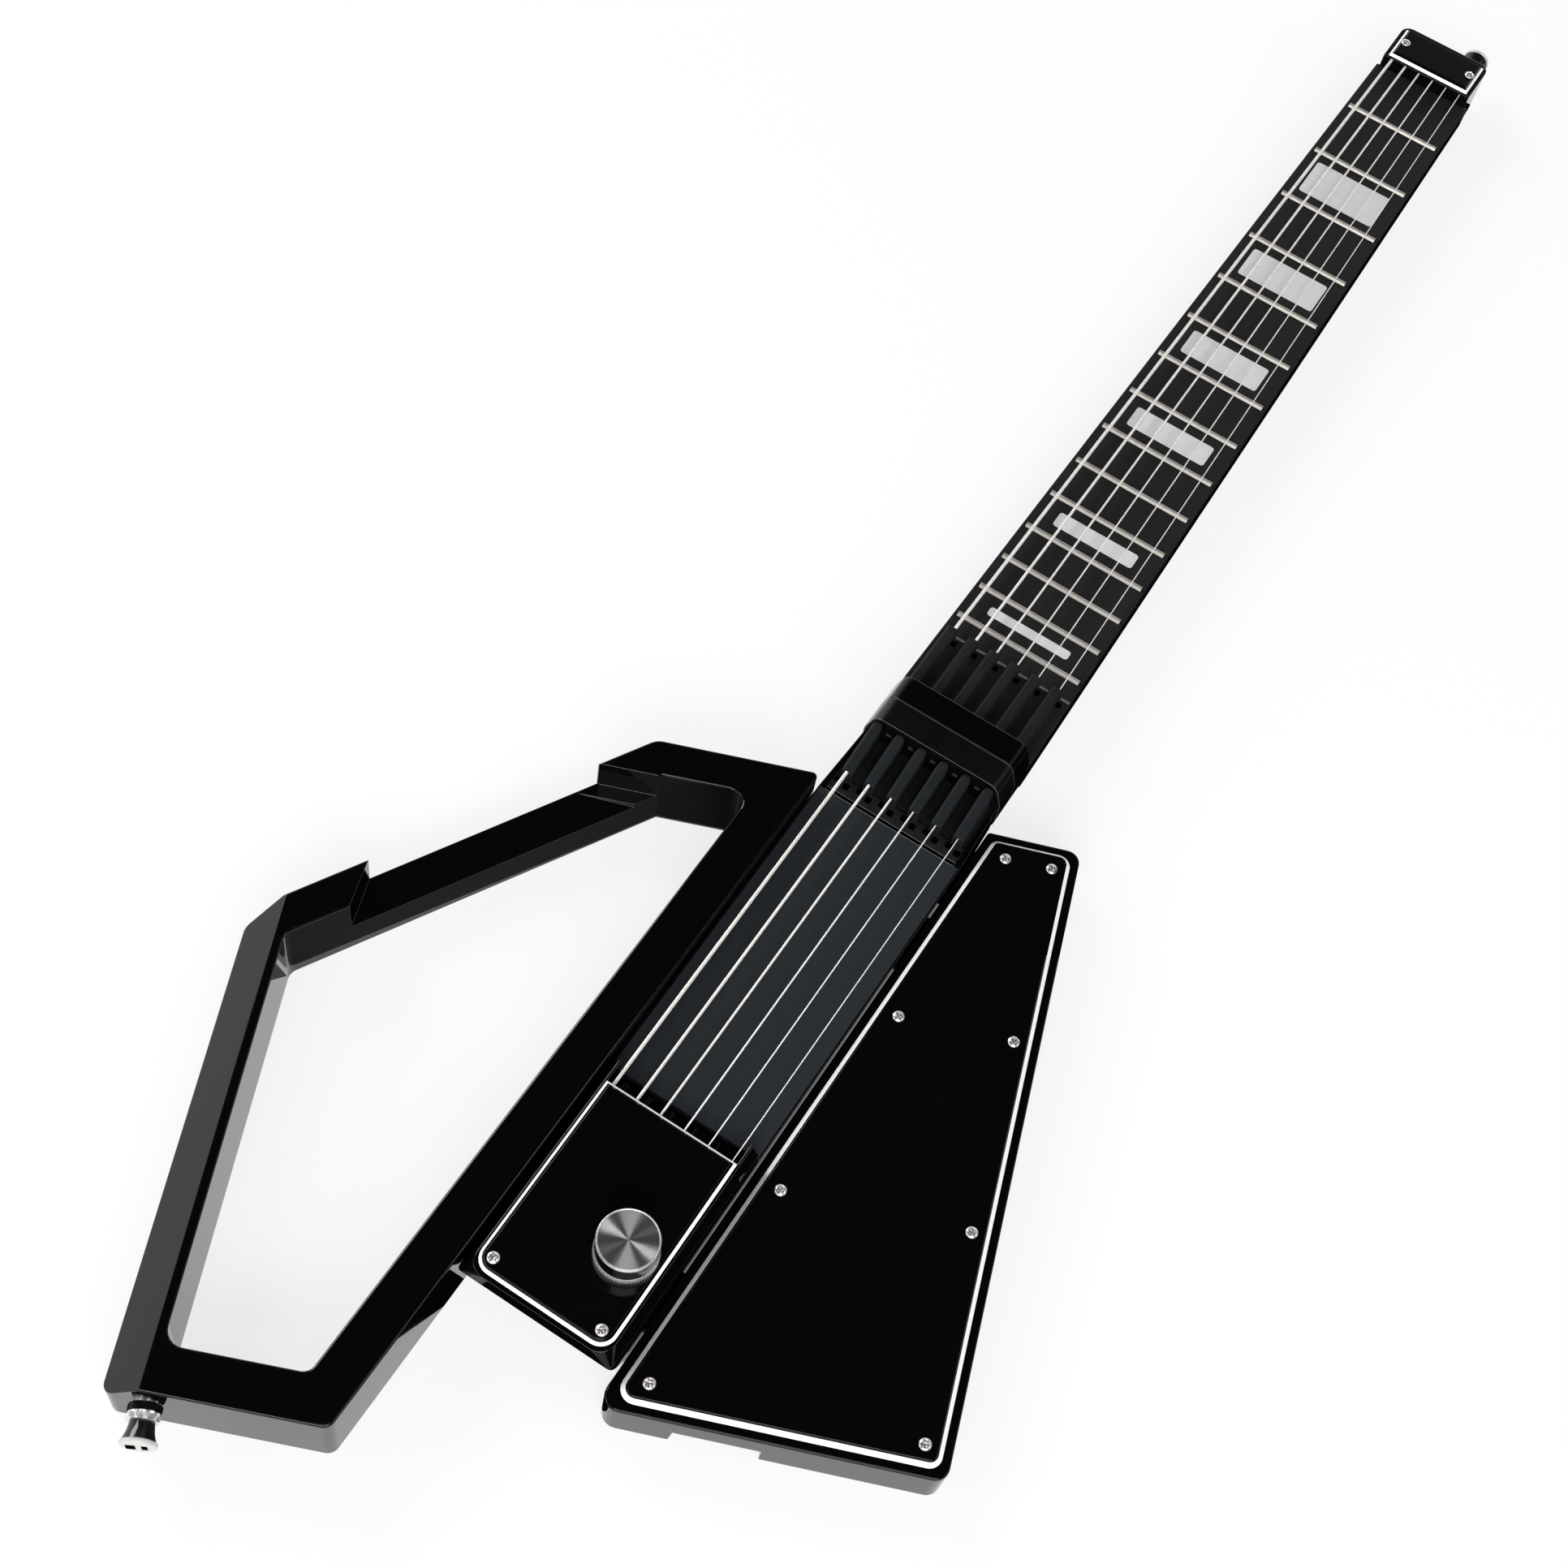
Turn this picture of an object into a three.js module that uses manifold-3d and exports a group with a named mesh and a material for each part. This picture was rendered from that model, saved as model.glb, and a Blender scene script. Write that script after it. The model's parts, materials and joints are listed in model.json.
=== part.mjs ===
// Travel guitar with a pull-off neck and two pull-off side wings. Millimetres, +Z up.
// X runs across the strings, +Y runs up the neck, and the origin is under the strummed strings.
import * as THREE from 'three';
import Module from 'manifold-3d';
import { mergeVertices } from 'three/addons/utils/BufferGeometryUtils.js';

const wasm = await Module();
wasm.setup();

// Shared values
const overrun = 4;
const fitGap = 0.3;
const runningGap = 0.05;
const weldDistance = 0.0001;
const cornerSteps = 6;
const edgeSteps = 3;
const turnedSteps = 32;
const knobSteps = 64;
const screwSteps = 16;
const holeSteps = 12;
const stringSteps = 8;
const toothSteps = 4;

// Body: the neck, the collar and the wings take their places from it
const bodyHalf = 29;
const bodyStartY = 119.6;
const bodyEndY = -125;
const bodyRimZ = 20.6;
const bodyBottomRound = 6;
const bodyCornerRound = 1.5;
const bodyShoulderRound = 12;
const shoulderNarrowing = 1.4;
const shoulderHalf = bodyHalf - shoulderNarrowing;

// Casing over the controls, and the slot in front of it
const casingLength = 76;
const casingHeight = 8.6;
const casingKneeDrop = 4.2;
const casingKneeInset = 0.5;
const casingTopInset = 3.8;
const casingSideLedge = 0.6;
const casingEndLedge = 1.3;
const casingRound = 6;
const casingStartY = bodyEndY + casingLength;
const casingTopZ = bodyRimZ + casingHeight;
const casingKneeZ = casingTopZ - casingKneeDrop;
const casingKneeHalf = bodyHalf - casingKneeInset;
const casingTopHalf = bodyHalf - casingTopInset;
const slotWidth = 8.7;
const slotSideWall = 4;
const slotHalf = bodyHalf - slotSideWall;
const endLiftLength = 18;
const endLiftDrop = 0.6;
const endLiftStartY = bodyEndY + endLiftLength;
const endLiftZ = casingKneeZ - endLiftDrop;

// Deck under the body strings, and the damper at their upper end
const damperLength = 29.6;
const damperInset = 2.7;
const damperThickness = 5.2;
const damperDrop = 0.4;
const damperHalf = bodyHalf - damperInset;
const damperTopZ = bodyRimZ - damperDrop;
const damperFloorZ = damperTopZ - damperThickness;
const deckRim = 0.7;
const deckRise = 0.4;
const deckThickness = 3;
const deckHalf = bodyHalf - deckRim;
const deckTopZ = bodyRimZ + deckRise;
const deckBaseZ = deckTopZ - deckThickness;
const deckStartY = bodyStartY - damperLength;
const deckEndY = casingStartY + slotWidth;

// Body strings and the pads that they come out of
const stringRadii = [0.66, 0.54, 0.42, 0.31, 0.24, 0.19];
const bodyStringMargin = 6.1;
const bodyStringLift = 3.9;
const bodyStringSink = 1.8;
const bodyStringSpread = bodyHalf - bodyStringMargin;
const bodyStringUpperZ = deckTopZ + bodyStringLift;
const bodyStringLowerZ = casingTopZ - bodyStringSink;
const padLength = 21.6;
const padCover = 0.9;
const padRise = 5.4;
const padRound = 1.6;
const padStartY = bodyStartY - padLength;
const padLowZ = bodyStringUpperZ + padCover;
const padHighZ = padLowZ + padRise;
const ribWidth = 4.3;

// Hollows inside the body, and the cover under them
const coverThickness = 2;
const coverLedge = 1;
const cavityWall = 9;
const cavityRoof = 2;
const cavityEndWall = 5;
const cavityLiftGap = 2;
const cavityHalf = bodyHalf - cavityWall;
const cavityRoofZ = deckBaseZ - cavityRoof;
const cavityStartY = deckStartY - cavityEndWall;
const cavityEndY = endLiftStartY + cavityLiftGap;
const controlEndWall = 13;
const controlCavityStartY = casingStartY - cavityEndWall;
const controlCavityEndY = bodyEndY + controlEndWall;

// Electronics
const circuitMargin = 2;
const circuitInset = 23;
const circuitLength = 60;
const circuitThickness = 1.6;
const circuitHalf = cavityHalf - circuitMargin;
const circuitStartY = cavityStartY - circuitInset;
const circuitEndY = circuitStartY - circuitLength;
const batteryMargin = 3;
const batterySpacing = 10;
const batteryLength = 64;
const batteryHeight = 6;
const batteryRound = 1.6;
const batteryHalf = cavityHalf - batteryMargin;
const batteryStartY = circuitEndY - batterySpacing;
const batteryEndY = batteryStartY - batteryLength;

// Control plate
const plateThickness = 2;
const plateOverhang = 0.4;
const plateEndInset = 2.15;
const controlPlateStartY = casingStartY + plateOverhang;
const controlPlateEndY = bodyEndY + plateEndInset;

// Knob and its turning sensor
const knobInset = 12.7;
const knobRise = 29.45;
const knobX = casingTopHalf - knobInset;
const knobY = controlPlateEndY + knobRise;
const knobRadius = 10.25;
const knobFlare = 0.35;
const knobFootRadius = knobRadius + knobFlare;
const knobHeight = 11.3;
const knobLift = 0.5;
const knobFootHeight = 3;
const knobEdge = 0.7;
const knobTeeth = 60;
const knobToothDepth = 0.35;
const knobTopWall = 2.3;
const shaftRadius = 3;
const shaftLength = knobHeight - knobTopWall;
const sensorSide = 12;
const sensorHeight = 6.5;

// Collar between neck and body
const bodyRingLength = 11.3;
const neckRingLength = 10.7;
const collarStep = 0.8;
const collarTopInset = 3.2;
const collarFootInset = 7.2;
const collarRise = 11.4;
const collarShoulderDrop = 10;
const collarLowerZ = 9;
const collarRound = 5;
const partingY = bodyStartY + bodyRingLength;
const neckFootY = partingY + neckRingLength;
const collarHalf = bodyHalf - collarStep;
const collarTopHalf = collarHalf - collarTopInset;
const collarFootHalf = collarHalf - collarFootInset;
const collarTopZ = bodyRimZ + collarRise;
const collarShoulderZ = collarTopZ - collarShoulderDrop;

// Neck and fretboard
const scaleLength = 648;
const fretCount = 15;
const semitonesPerOctave = 12;
const lastFretMargin = 9.05;
const fretInset = 1.5;
const fretWidth = 2.4;
const fretHeight = 1;
const boardDrop = 1.6;
const boardThickness = 3;
const boardInset = 0.6;
const boardHalfTop = 22.2;
const neckDamperLength = 34.2;
const neckBottomRound = 6;
const boardTopZ = bodyRimZ - boardDrop;
const boardBaseZ = boardTopZ - boardThickness;
const boardHalfFoot = collarHalf - boardInset;
const boardFootY = neckFootY + neckDamperLength;
const nutY = boardFootY + lastFretMargin + fretDistance(fretCount);

// Head block, and the hollow along the neck
const nutOverhang = 4.4;
const headBlockLength = 23.6;
const headBlockInset = 1.2;
const headBlockRise = 6;
const headBlockRound = 4.5;
const headBlockBottomRound = 3;
const headPlateSideInset = 1.6;
const headPlateStartInset = 0.8;
const headPlateEndInset = 2.4;
const headBlockStartY = nutY - nutOverhang;
const headBlockEndY = headBlockStartY + headBlockLength;
const headBlockHalf = boardHalfTop - headBlockInset;
const headBlockTopZ = boardTopZ + headBlockRise;
const headPlateHalf = headBlockHalf - headPlateSideInset;
const neckChannelWall = 8.2;
const neckChannelFloorZ = 5;
const neckChannelFootWall = 14.2;
const neckChannelHeadWall = 11;
const neckChannelHalf = boardHalfTop - neckChannelWall;
const neckChannelStartY = boardFootY + neckChannelFootWall;
const neckChannelEndY = headBlockStartY - neckChannelHeadWall;

// Neck strings and the damper at their lower end
const neckStringTopMargin = 5.35;
const neckStringFootMargin = 5.2;
const neckStringFootShift = -0.45;
const neckStringSink = 0.8;
const neckStringLift = 3.2;
const neckStringSpreadTop = boardHalfTop - neckStringTopMargin;
const neckStringSpreadFoot = boardHalfFoot - neckStringFootMargin;
const neckStringTopZ = headBlockTopZ - neckStringSink;
const neckStringFootZ = boardTopZ + neckStringLift;
const ribHeight = 3.6;
const ribRound = 1.2;
const ribShift = -0.8;
const ribTopZ = boardTopZ + ribHeight;

// Plug that carries the collar on the neck, and the tongue that goes into the body
const plugInset = 8.2;
const plugLowZ = 4;
const tongueInset = 5;
const tongueStep = 1;
const tongueDrop = 3;
const tongueEntry = 15;
const plugHalf = collarHalf - plugInset;
const plugHighZ = boardBaseZ;
const tongueHalf = plugHalf - tongueInset;
const tongueLowZ = plugLowZ + tongueStep;
const tongueHighZ = plugHighZ - tongueDrop;
const tongueEndY = cavityStartY - tongueEntry;

// Screws
const screwHeadRadius = 2.1;
const screwHeadHeight = 0.9;
const screwShankRadius = 1.2;
const screwLength = 9;
const headScrewInset = 3.6;
const headScrewRise = 11;
const headScrewX = headPlateHalf - headScrewInset;
const headScrewY = headBlockStartY + headScrewRise;
const panelScrewInset = 5.1;
const panelScrewRise = 5.05;
const panelScrewX = casingTopHalf - panelScrewInset;
const panelScrewY = controlPlateEndY + panelScrewRise;

// Tabs that hold each wing to the body
const tabLength = 22;
const tabSlotDepth = 5.5;
const tabLowZ = 6;
const tabHeight = 5;
const tabUpperInset = 28;
const tabLowerInset = 14;
const tabSpots = [deckStartY - tabUpperInset, endLiftStartY + tabLowerInset];

// Right wing
const rightWingGap = 0.6;
const rightWingTopZ = 19;
const rightWingTopDrop = 9.1;
const rightWingTopRise = 12.2;
const rightWingTopWidth = 31.4;
const rightWingFootDrop = 10.3;
const rightWingFootRise = 40.9;
const rightWingFootWidth = 102.3;
const rightWingFootRound = 5.2;
const rightWingHipRound = 4.8;
const rightWingTopRound = 4.6;
const rightWingInnerRound = 1.5;
const rightWingEdgeRound = 0.8;
const rightPlateInset = 2.9;
const rightPlateThickness = 2.2;
const rightPlateRounds = [5, 4.5, 4.5, 3.5];
const notchStart = 25.4;
const notchLength = 27.9;
const notchHeight = 9.1;
const notchLean = 1;
const notchRound = 2;
const notchDepth = 12;
const rightPocketWall = 2;
const rightPocketFloorZ = 3;
const rightPocketInset = notchDepth + rightPocketWall;
const rightWingX = bodyHalf + rightWingGap;
const rightWingFootY = bodyEndY - rightWingFootDrop;
const rightWingTopY = bodyStartY - rightWingTopDrop;
const rightHipX = rightWingX + rightWingFootWidth;
const rightHipY = rightWingFootY + rightWingFootRise;
const rightTipX = rightWingX + rightWingTopWidth;
const rightTipY = rightWingTopY + rightWingTopRise;
// Corners as x, y, corner radius, going round to the left
const rightWingCorners = [
  [rightWingX, rightWingFootY, rightWingFootRound],
  [rightHipX, rightHipY, rightWingHipRound],
  [rightTipX, rightTipY, rightWingTopRound],
  [rightWingX, rightWingTopY, rightWingInnerRound],
];

// Screws of the right wing: one row beside the body, one along the outer edge
const innerRowInset = 10.5;
const innerRowDrop = 7.2;
const innerRowRise = 14.8;
const outerRowTopInset = 5.5;
const outerRowTopDrop = 13.3;
const outerRowFootInset = 11.7;
const outerRowFootRise = 5.6;
const screwRowShares = [0, 0.33, 0.663, 1];

// Left wing
const leftWingTopZ = 30;
const leftWingTopDrop = 30.2;
const leftWingFootDrop = 61.9;
const shoulderOut = 53.7;
const shoulderDrop = 22.5;
const hipOut = 126.7;
const hipDrop = 157.6;
const tailOut = 64.5;
const tailDrop = 27;
const leftWingCornerRound = 4;
const leftWingEdgeRound = 0.9;
const leftWingTopRound = 1.8;
const leftWingShoulderRound = 7;
const leftWingX = -bodyHalf - fitGap;
const leftWingTopY = bodyStartY - leftWingTopDrop;
const leftWingFootY = bodyEndY - leftWingFootDrop;
const shoulderX = leftWingX - shoulderOut;
const shoulderY = leftWingTopY - shoulderDrop;
const hipX = leftWingX - hipOut;
const hipY = leftWingTopY - hipDrop;
const tailX = leftWingX - tailOut;
const tailY = leftWingFootY - tailDrop;
const leftWingCorners = [
  [leftWingX, leftWingFootY, leftWingCornerRound],
  [leftWingX, leftWingTopY, leftWingTopRound],
  [shoulderX, shoulderY, leftWingShoulderRound],
  [hipX, hipY, leftWingCornerRound],
  [tailX, tailY, leftWingCornerRound],
];

// Opening of the left wing
const innerBarWidth = 15.2;
const openingFootRise = 10.1;
const openingTopDrop = 21;
const openingShoulderIn = 9.4;
const openingShoulderDrop = 10.8;
const openingHipIn = 15.9;
const openingHipRise = 1.6;
const openingTailIn = 8.7;
const openingTailRise = 20;
const openingFootRound = 4;
const openingTopRound = 5;
const openingShoulderRound = 0.6;
const openingHipRound = 5;
const openingTailRound = 6;
const openingEdgeRound = 0.7;
const openingCorners = [
  [leftWingX - innerBarWidth, leftWingFootY + openingFootRise, openingFootRound],
  [leftWingX - innerBarWidth, leftWingTopY - openingTopDrop, openingTopRound],
  [shoulderX + openingShoulderIn, shoulderY - openingShoulderDrop, openingShoulderRound],
  [hipX + openingHipIn, hipY + openingHipRise, openingHipRound],
  [tailX + openingTailIn, tailY + openingTailRise, openingTailRound],
];

// Outer bevel of the left wing, and the lowered stretch of its upper bar
const ridgeHipInset = 12.12;
const ridgeTailInset = 13;
const bevelWidth = 13.5;
const bevelDrop = 13;
const lowBarDrop = 15.5;
const ledgeRise = 1.6;
const ledgeWidth = 5.36;
const stepWallInset = 14.3;
const stepFromHip = 44.7;
const stepTurn = 134;
const barReach = 18;
const lowBarZ = leftWingTopZ - lowBarDrop;
const ledgeZ = lowBarZ + ledgeRise;

// Strap buttons
const buttonLength = 14;
const buttonEndRadius = 5.8;
const buttonStemRadius = 4;
const buttonFlangeRadius = 5.2;
const buttonRingRadius = 4.9;
const buttonFlangeThickness = 3.6;
const buttonRingThickness = 2.8;
const buttonEndThickness = 1.8;
const buttonFlare = 3;
const buttonEdge = 0.5;
const headButtonInset = 8.2;
const headButtonDrop = 10.8;
const headButtonX = headBlockHalf - headButtonInset;
const headButtonZ = headBlockTopZ - headButtonDrop;
const wingButtonInset = 14.1;
const wingButtonDrop = 11;
const wingButtonTilt = 6;
const wingButtonZ = leftWingTopZ - wingButtonDrop;

// Distance from the nut to a fret
function fretDistance(fret) {
  return scaleLength * (1 - 2 ** (-fret / semitonesPerOctave));
}

// Closed-solid tools

function toSolid(geometry) {
  const plain = geometry.index ? geometry.toNonIndexed() : geometry.clone();
  plain.deleteAttribute('normal');
  plain.deleteAttribute('uv');
  const merged = mergeVertices(plain, weldDistance);
  const mesh = new wasm.Mesh({
    numProp: 3,
    vertProperties: new Float32Array(merged.attributes.position.array),
    triVerts: new Uint32Array(merged.index.array),
  });
  mesh.merge();
  return new wasm.Manifold(mesh);
}

function toGeometry(solid) {
  const mesh = solid.getMesh();
  const geometry = new THREE.BufferGeometry();
  geometry.setAttribute('position', new THREE.BufferAttribute(new Float32Array(mesh.vertProperties), 3));
  geometry.setIndex(new THREE.BufferAttribute(new Uint32Array(mesh.triVerts), 1));
  geometry.computeVertexNormals();
  return geometry;
}

function join(first, ...others) {
  return others.reduce((sum, part) => sum.add(part), first);
}

function cut(first, ...others) {
  return others.reduce((sum, part) => sum.subtract(part), first);
}

function box(lowX, highX, lowY, highY, lowZ, highZ) {
  const geometry = new THREE.BoxGeometry(highX - lowX, highY - lowY, highZ - lowZ);
  geometry.translate((lowX + highX) / 2, (lowY + highY) / 2, (lowZ + highZ) / 2);
  return toSolid(geometry);
}

function centredBox(half, lowY, highY, lowZ, highZ) {
  return box(-half, half, lowY, highY, lowZ, highZ);
}

// A closed outline with rounded corners, moved inwards by inset
function outline(corners, inset = 0) {
  const count = corners.length;
  const points = [];
  const edges = corners.map((corner, index) => {
    const next = corners[(index + 1) % count];
    const along = new THREE.Vector2(next[0] - corner[0], next[1] - corner[1]).normalize();
    const inward = new THREE.Vector2(-along.y, along.x);
    return { from: new THREE.Vector2(corner[0], corner[1]).addScaledVector(inward, inset), along, inward };
  });
  for (let index = 0; index < count; index += 1) {
    const before = edges[(index + count - 1) % count];
    const after = edges[index];
    const turn = before.along.cross(after.along);
    const offset = after.from.clone().sub(before.from);
    const meet = before.from.clone().addScaledVector(before.along, offset.cross(after.along) / turn);
    const wanted = corners[index][2];
    if (!wanted) {
      points.push(meet);
      continue;
    }
    const side = Math.sign(turn);
    const radius = Math.max(wanted - side * inset, fitGap);
    const half = Math.acos(THREE.MathUtils.clamp(before.along.dot(after.along), -1, 1)) / 2;
    const setback = radius * Math.tan(half);
    const start = meet.clone().addScaledVector(before.along, -setback);
    const centre = start.clone().addScaledVector(before.inward, side * radius);
    const arm = start.clone().sub(centre);
    for (let step = 0; step <= cornerSteps; step += 1) {
      const angle = side * 2 * half * step / cornerSteps;
      points.push(arm.clone().rotateAround(new THREE.Vector2(), angle).add(centre));
    }
  }
  return points;
}

// A solid skinned through rings of points, each ring at its own height
function loft(rings) {
  const count = rings[0].points.length;
  const positions = [];
  const index = [];
  for (const ring of rings) {
    for (const point of ring.points) positions.push(point.x, point.y, ring.z);
  }
  for (let level = 0; level + 1 < rings.length; level += 1) {
    for (let spot = 0; spot < count; spot += 1) {
      const here = level * count + spot;
      const beside = level * count + (spot + 1) % count;
      index.push(here, beside, beside + count, here, beside + count, here + count);
    }
  }
  const top = (rings.length - 1) * count;
  for (const [a, b, c] of THREE.ShapeUtils.triangulateShape(rings[0].points, [])) index.push(a, c, b);
  for (const [a, b, c] of THREE.ShapeUtils.triangulateShape(rings[rings.length - 1].points, [])) {
    index.push(top + a, top + b, top + c);
  }
  const geometry = new THREE.BufferGeometry();
  geometry.setAttribute('position', new THREE.Float32BufferAttribute(positions, 3));
  geometry.setIndex(index);
  return toSolid(geometry);
}

// An upright block whose bottom and top edges are rounded
function roundedBlock(corners, lowZ, highZ, lowRound = 0, highRound = 0) {
  const rings = [];
  for (let step = 0; step <= edgeSteps && lowRound; step += 1) {
    const angle = Math.PI / 2 * step / edgeSteps;
    const inset = lowRound * (1 - Math.sin(angle));
    rings.push({ points: outline(corners, inset), z: lowZ + lowRound * (1 - Math.cos(angle)) });
  }
  if (!lowRound) rings.push({ points: outline(corners), z: lowZ });
  for (let step = 0; step <= edgeSteps && highRound; step += 1) {
    const angle = Math.PI / 2 * step / edgeSteps;
    const inset = highRound * (1 - Math.cos(angle));
    rings.push({ points: outline(corners, inset), z: highZ - highRound * (1 - Math.sin(angle)) });
  }
  if (!highRound) rings.push({ points: outline(corners), z: highZ });
  return loft(rings);
}

// A flat plate with a 45 degree edge all round
function bevelPlate(corners, lowZ, thickness) {
  return loft([
    { points: outline(corners), z: lowZ },
    { points: outline(corners, thickness), z: lowZ + thickness },
  ]);
}

// An outline drawn in the XZ plane and carried along Y
function alongY(corners, lowY, highY) {
  const drawn = corners.map(([x, z, radius]) => [x, -z, radius]).reverse();
  const solid = loft([
    { points: outline(drawn), z: lowY },
    { points: outline(drawn), z: highY },
  ]);
  return solid.rotate([-90, 0, 0]);
}

// An outline drawn in the YZ plane and carried along X
function alongX(corners, lowX, highX) {
  const solid = loft([
    { points: outline(corners), z: lowX },
    { points: outline(corners), z: highX },
  ]);
  return solid.rotate([90, 0, 90]);
}

function mirrored(corners) {
  return [...corners, ...corners.map(([x, z, radius]) => [-x, z, radius]).reverse()];
}

function rod(radius, lowZ, highZ, x, y, segments) {
  const geometry = new THREE.CylinderGeometry(radius, radius, highZ - lowZ, segments);
  geometry.rotateX(Math.PI / 2);
  geometry.translate(x, y, (lowZ + highZ) / 2);
  return toSolid(geometry);
}

function lathed(profile, segments) {
  const geometry = new THREE.LatheGeometry(profile.map(([r, z]) => new THREE.Vector2(r, z)), segments);
  geometry.rotateX(Math.PI / 2);
  return toSolid(geometry);
}

// Named pieces

const group = new THREE.Group();
group.name = 'travel_guitar';

const finishes = {
  gloss_black: { color: 0x07080a, roughness: 0.12, metalness: 0 },
  collar_black: { color: 0x15171a, roughness: 0.3, metalness: 0 },
  plate_black: { color: 0x08090b, roughness: 0.15, metalness: 0 },
  board_black: { color: 0x17181a, roughness: 0.7, metalness: 0 },
  deck_grey: { color: 0x202327, roughness: 0.9, metalness: 0 },
  rubber_grey: { color: 0x22262a, roughness: 0.8, metalness: 0 },
  fret_silver: { color: 0xc8c3b9, roughness: 0.3, metalness: 1 },
  string_steel: { color: 0xb9bbbd, roughness: 0.3, metalness: 1 },
  screw_chrome: { color: 0xc9ccd0, roughness: 0.2, metalness: 1 },
  knob_aluminium: { color: 0xc4c6c8, roughness: 0.25, metalness: 1 },
  circuit_green: { color: 0x1d4a2c, roughness: 0.6, metalness: 0 },
  cell_silver: { color: 0x9a9c9e, roughness: 0.5, metalness: 0.4 },
  sensor_grey: { color: 0x5a5c5e, roughness: 0.5, metalness: 0.3 },
};

function add(name, solid, finish) {
  const material = new THREE.MeshStandardMaterial(finishes[finish]);
  material.name = finish;
  const mesh = new THREE.Mesh(toGeometry(solid), material);
  mesh.name = name;
  group.add(mesh);
}

// Half width of the neck at a distance up the neck
function neckHalfAt(y) {
  const slope = (boardHalfFoot - boardHalfTop) / (boardFootY - nutY);
  return boardHalfTop + slope * (y - nutY);
}

function tapered(lowY, highY) {
  const low = neckHalfAt(lowY);
  const high = neckHalfAt(highY);
  return [[-low, lowY, 0], [low, lowY, 0], [high, highY, 0], [-high, highY, 0]];
}

function rectangle(half, lowY, highY, lowRadius = 0, highRadius = 0) {
  return [
    [-half, lowY, lowRadius], [half, lowY, lowRadius],
    [half, highY, highRadius], [-half, highY, highRadius],
  ];
}

function screwHole(x, y, topZ) {
  return rod(screwShankRadius + runningGap, topZ - screwLength, topZ + overrun, x, y, holeSteps);
}

function addScrew(name, x, y, topZ) {
  const dome = [[0, 0]];
  dome.push([screwShankRadius, 0], [screwShankRadius, screwLength - fitGap]);
  dome.push([screwHeadRadius, screwLength - fitGap]);
  for (let step = 0; step <= edgeSteps; step += 1) {
    const angle = Math.PI / 2 * step / edgeSteps;
    const radius = screwHeadRadius * Math.cos(angle);
    dome.push([step === edgeSteps ? 0 : radius, screwLength - fitGap + screwHeadHeight * Math.sin(angle)]);
  }
  add(name, lathed(dome, screwSteps).translate([x, y, topZ - screwLength + fitGap]), 'screw_chrome');
}

function stringX(index, spread, shift = 0) {
  const last = stringRadii.length - 1;
  return shift - spread + 2 * spread * index / last;
}

function taut(radius, from, to) {
  const line = new THREE.Vector3().subVectors(to, from);
  const geometry = new THREE.CylinderGeometry(radius, radius, line.length(), stringSteps);
  const upright = new THREE.Vector3(0, 1, 0);
  geometry.applyQuaternion(new THREE.Quaternion().setFromUnitVectors(upright, line.normalize()));
  const middle = new THREE.Vector3().addVectors(from, to).multiplyScalar(1 / 2);
  geometry.translate(middle.x, middle.y, middle.z);
  return toSolid(geometry);
}

function addNeck() {
  const shaft = roundedBlock(tapered(neckFootY, headBlockStartY + overrun), 0, boardBaseZ, neckBottomRound);
  const head = roundedBlock(
    rectangle(headBlockHalf, headBlockStartY, headBlockEndY, 0, headBlockRound),
    0, headBlockTopZ, headBlockBottomRound,
  );
  const plug = centredBox(plugHalf, partingY, neckFootY + overrun, plugLowZ, plugHighZ);
  const tongue = centredBox(tongueHalf, tongueEndY, partingY + overrun, tongueLowZ, tongueHighZ);
  const channel = centredBox(
    neckChannelHalf, neckChannelStartY, neckChannelEndY, neckChannelFloorZ, boardBaseZ + overrun,
  );
  const headPlateTopZ = headBlockTopZ + plateThickness;
  const holes = [-headScrewX, headScrewX].map((x) => screwHole(x, headScrewY, headPlateTopZ));
  add('neck_shell', cut(join(shaft, head, plug, tongue), channel, ...holes), 'gloss_black');

  const board = roundedBlock(tapered(boardFootY, headBlockStartY), boardBaseZ, boardTopZ);
  add('fretboard', board, 'board_black');

  const headPlate = bevelPlate(
    rectangle(headPlateHalf, headBlockStartY + headPlateStartInset, headBlockEndY - headPlateEndInset),
    headBlockTopZ,
    plateThickness,
  );
  add('head_plate', cut(headPlate, ...holes), 'plate_black');
  addScrew('head_screw_l', -headScrewX, headScrewY, headPlateTopZ);
  addScrew('head_screw_r', headScrewX, headScrewY, headPlateTopZ);
}

function addFrets() {
  const crown = [
    [-fretWidth / 2, 0, 0], [fretWidth / 2, 0, 0], [fretWidth / 4, fretHeight, fretHeight / 2],
    [-fretWidth / 4, fretHeight, fretHeight / 2],
  ];
  for (let fret = 1; fret <= fretCount; fret += 1) {
    const y = nutY - fretDistance(fret);
    const half = neckHalfAt(y) - fretInset;
    const name = `fret_${String(fret).padStart(2, '0')}`;
    add(name, alongX(crown, -half, half).translate([0, y, boardTopZ]), 'fret_silver');
  }
}

function addNeckStrings() {
  stringRadii.forEach((radius, index) => {
    const from = new THREE.Vector3(stringX(index, neckStringSpreadTop), headBlockStartY, neckStringTopZ);
    const footX = stringX(index, neckStringSpreadFoot, neckStringFootShift);
    const to = new THREE.Vector3(footX, boardFootY, neckStringFootZ);
    add(`neck_string_${index + 1}`, taut(radius, from, to), 'string_steel');
  });
}

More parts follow.
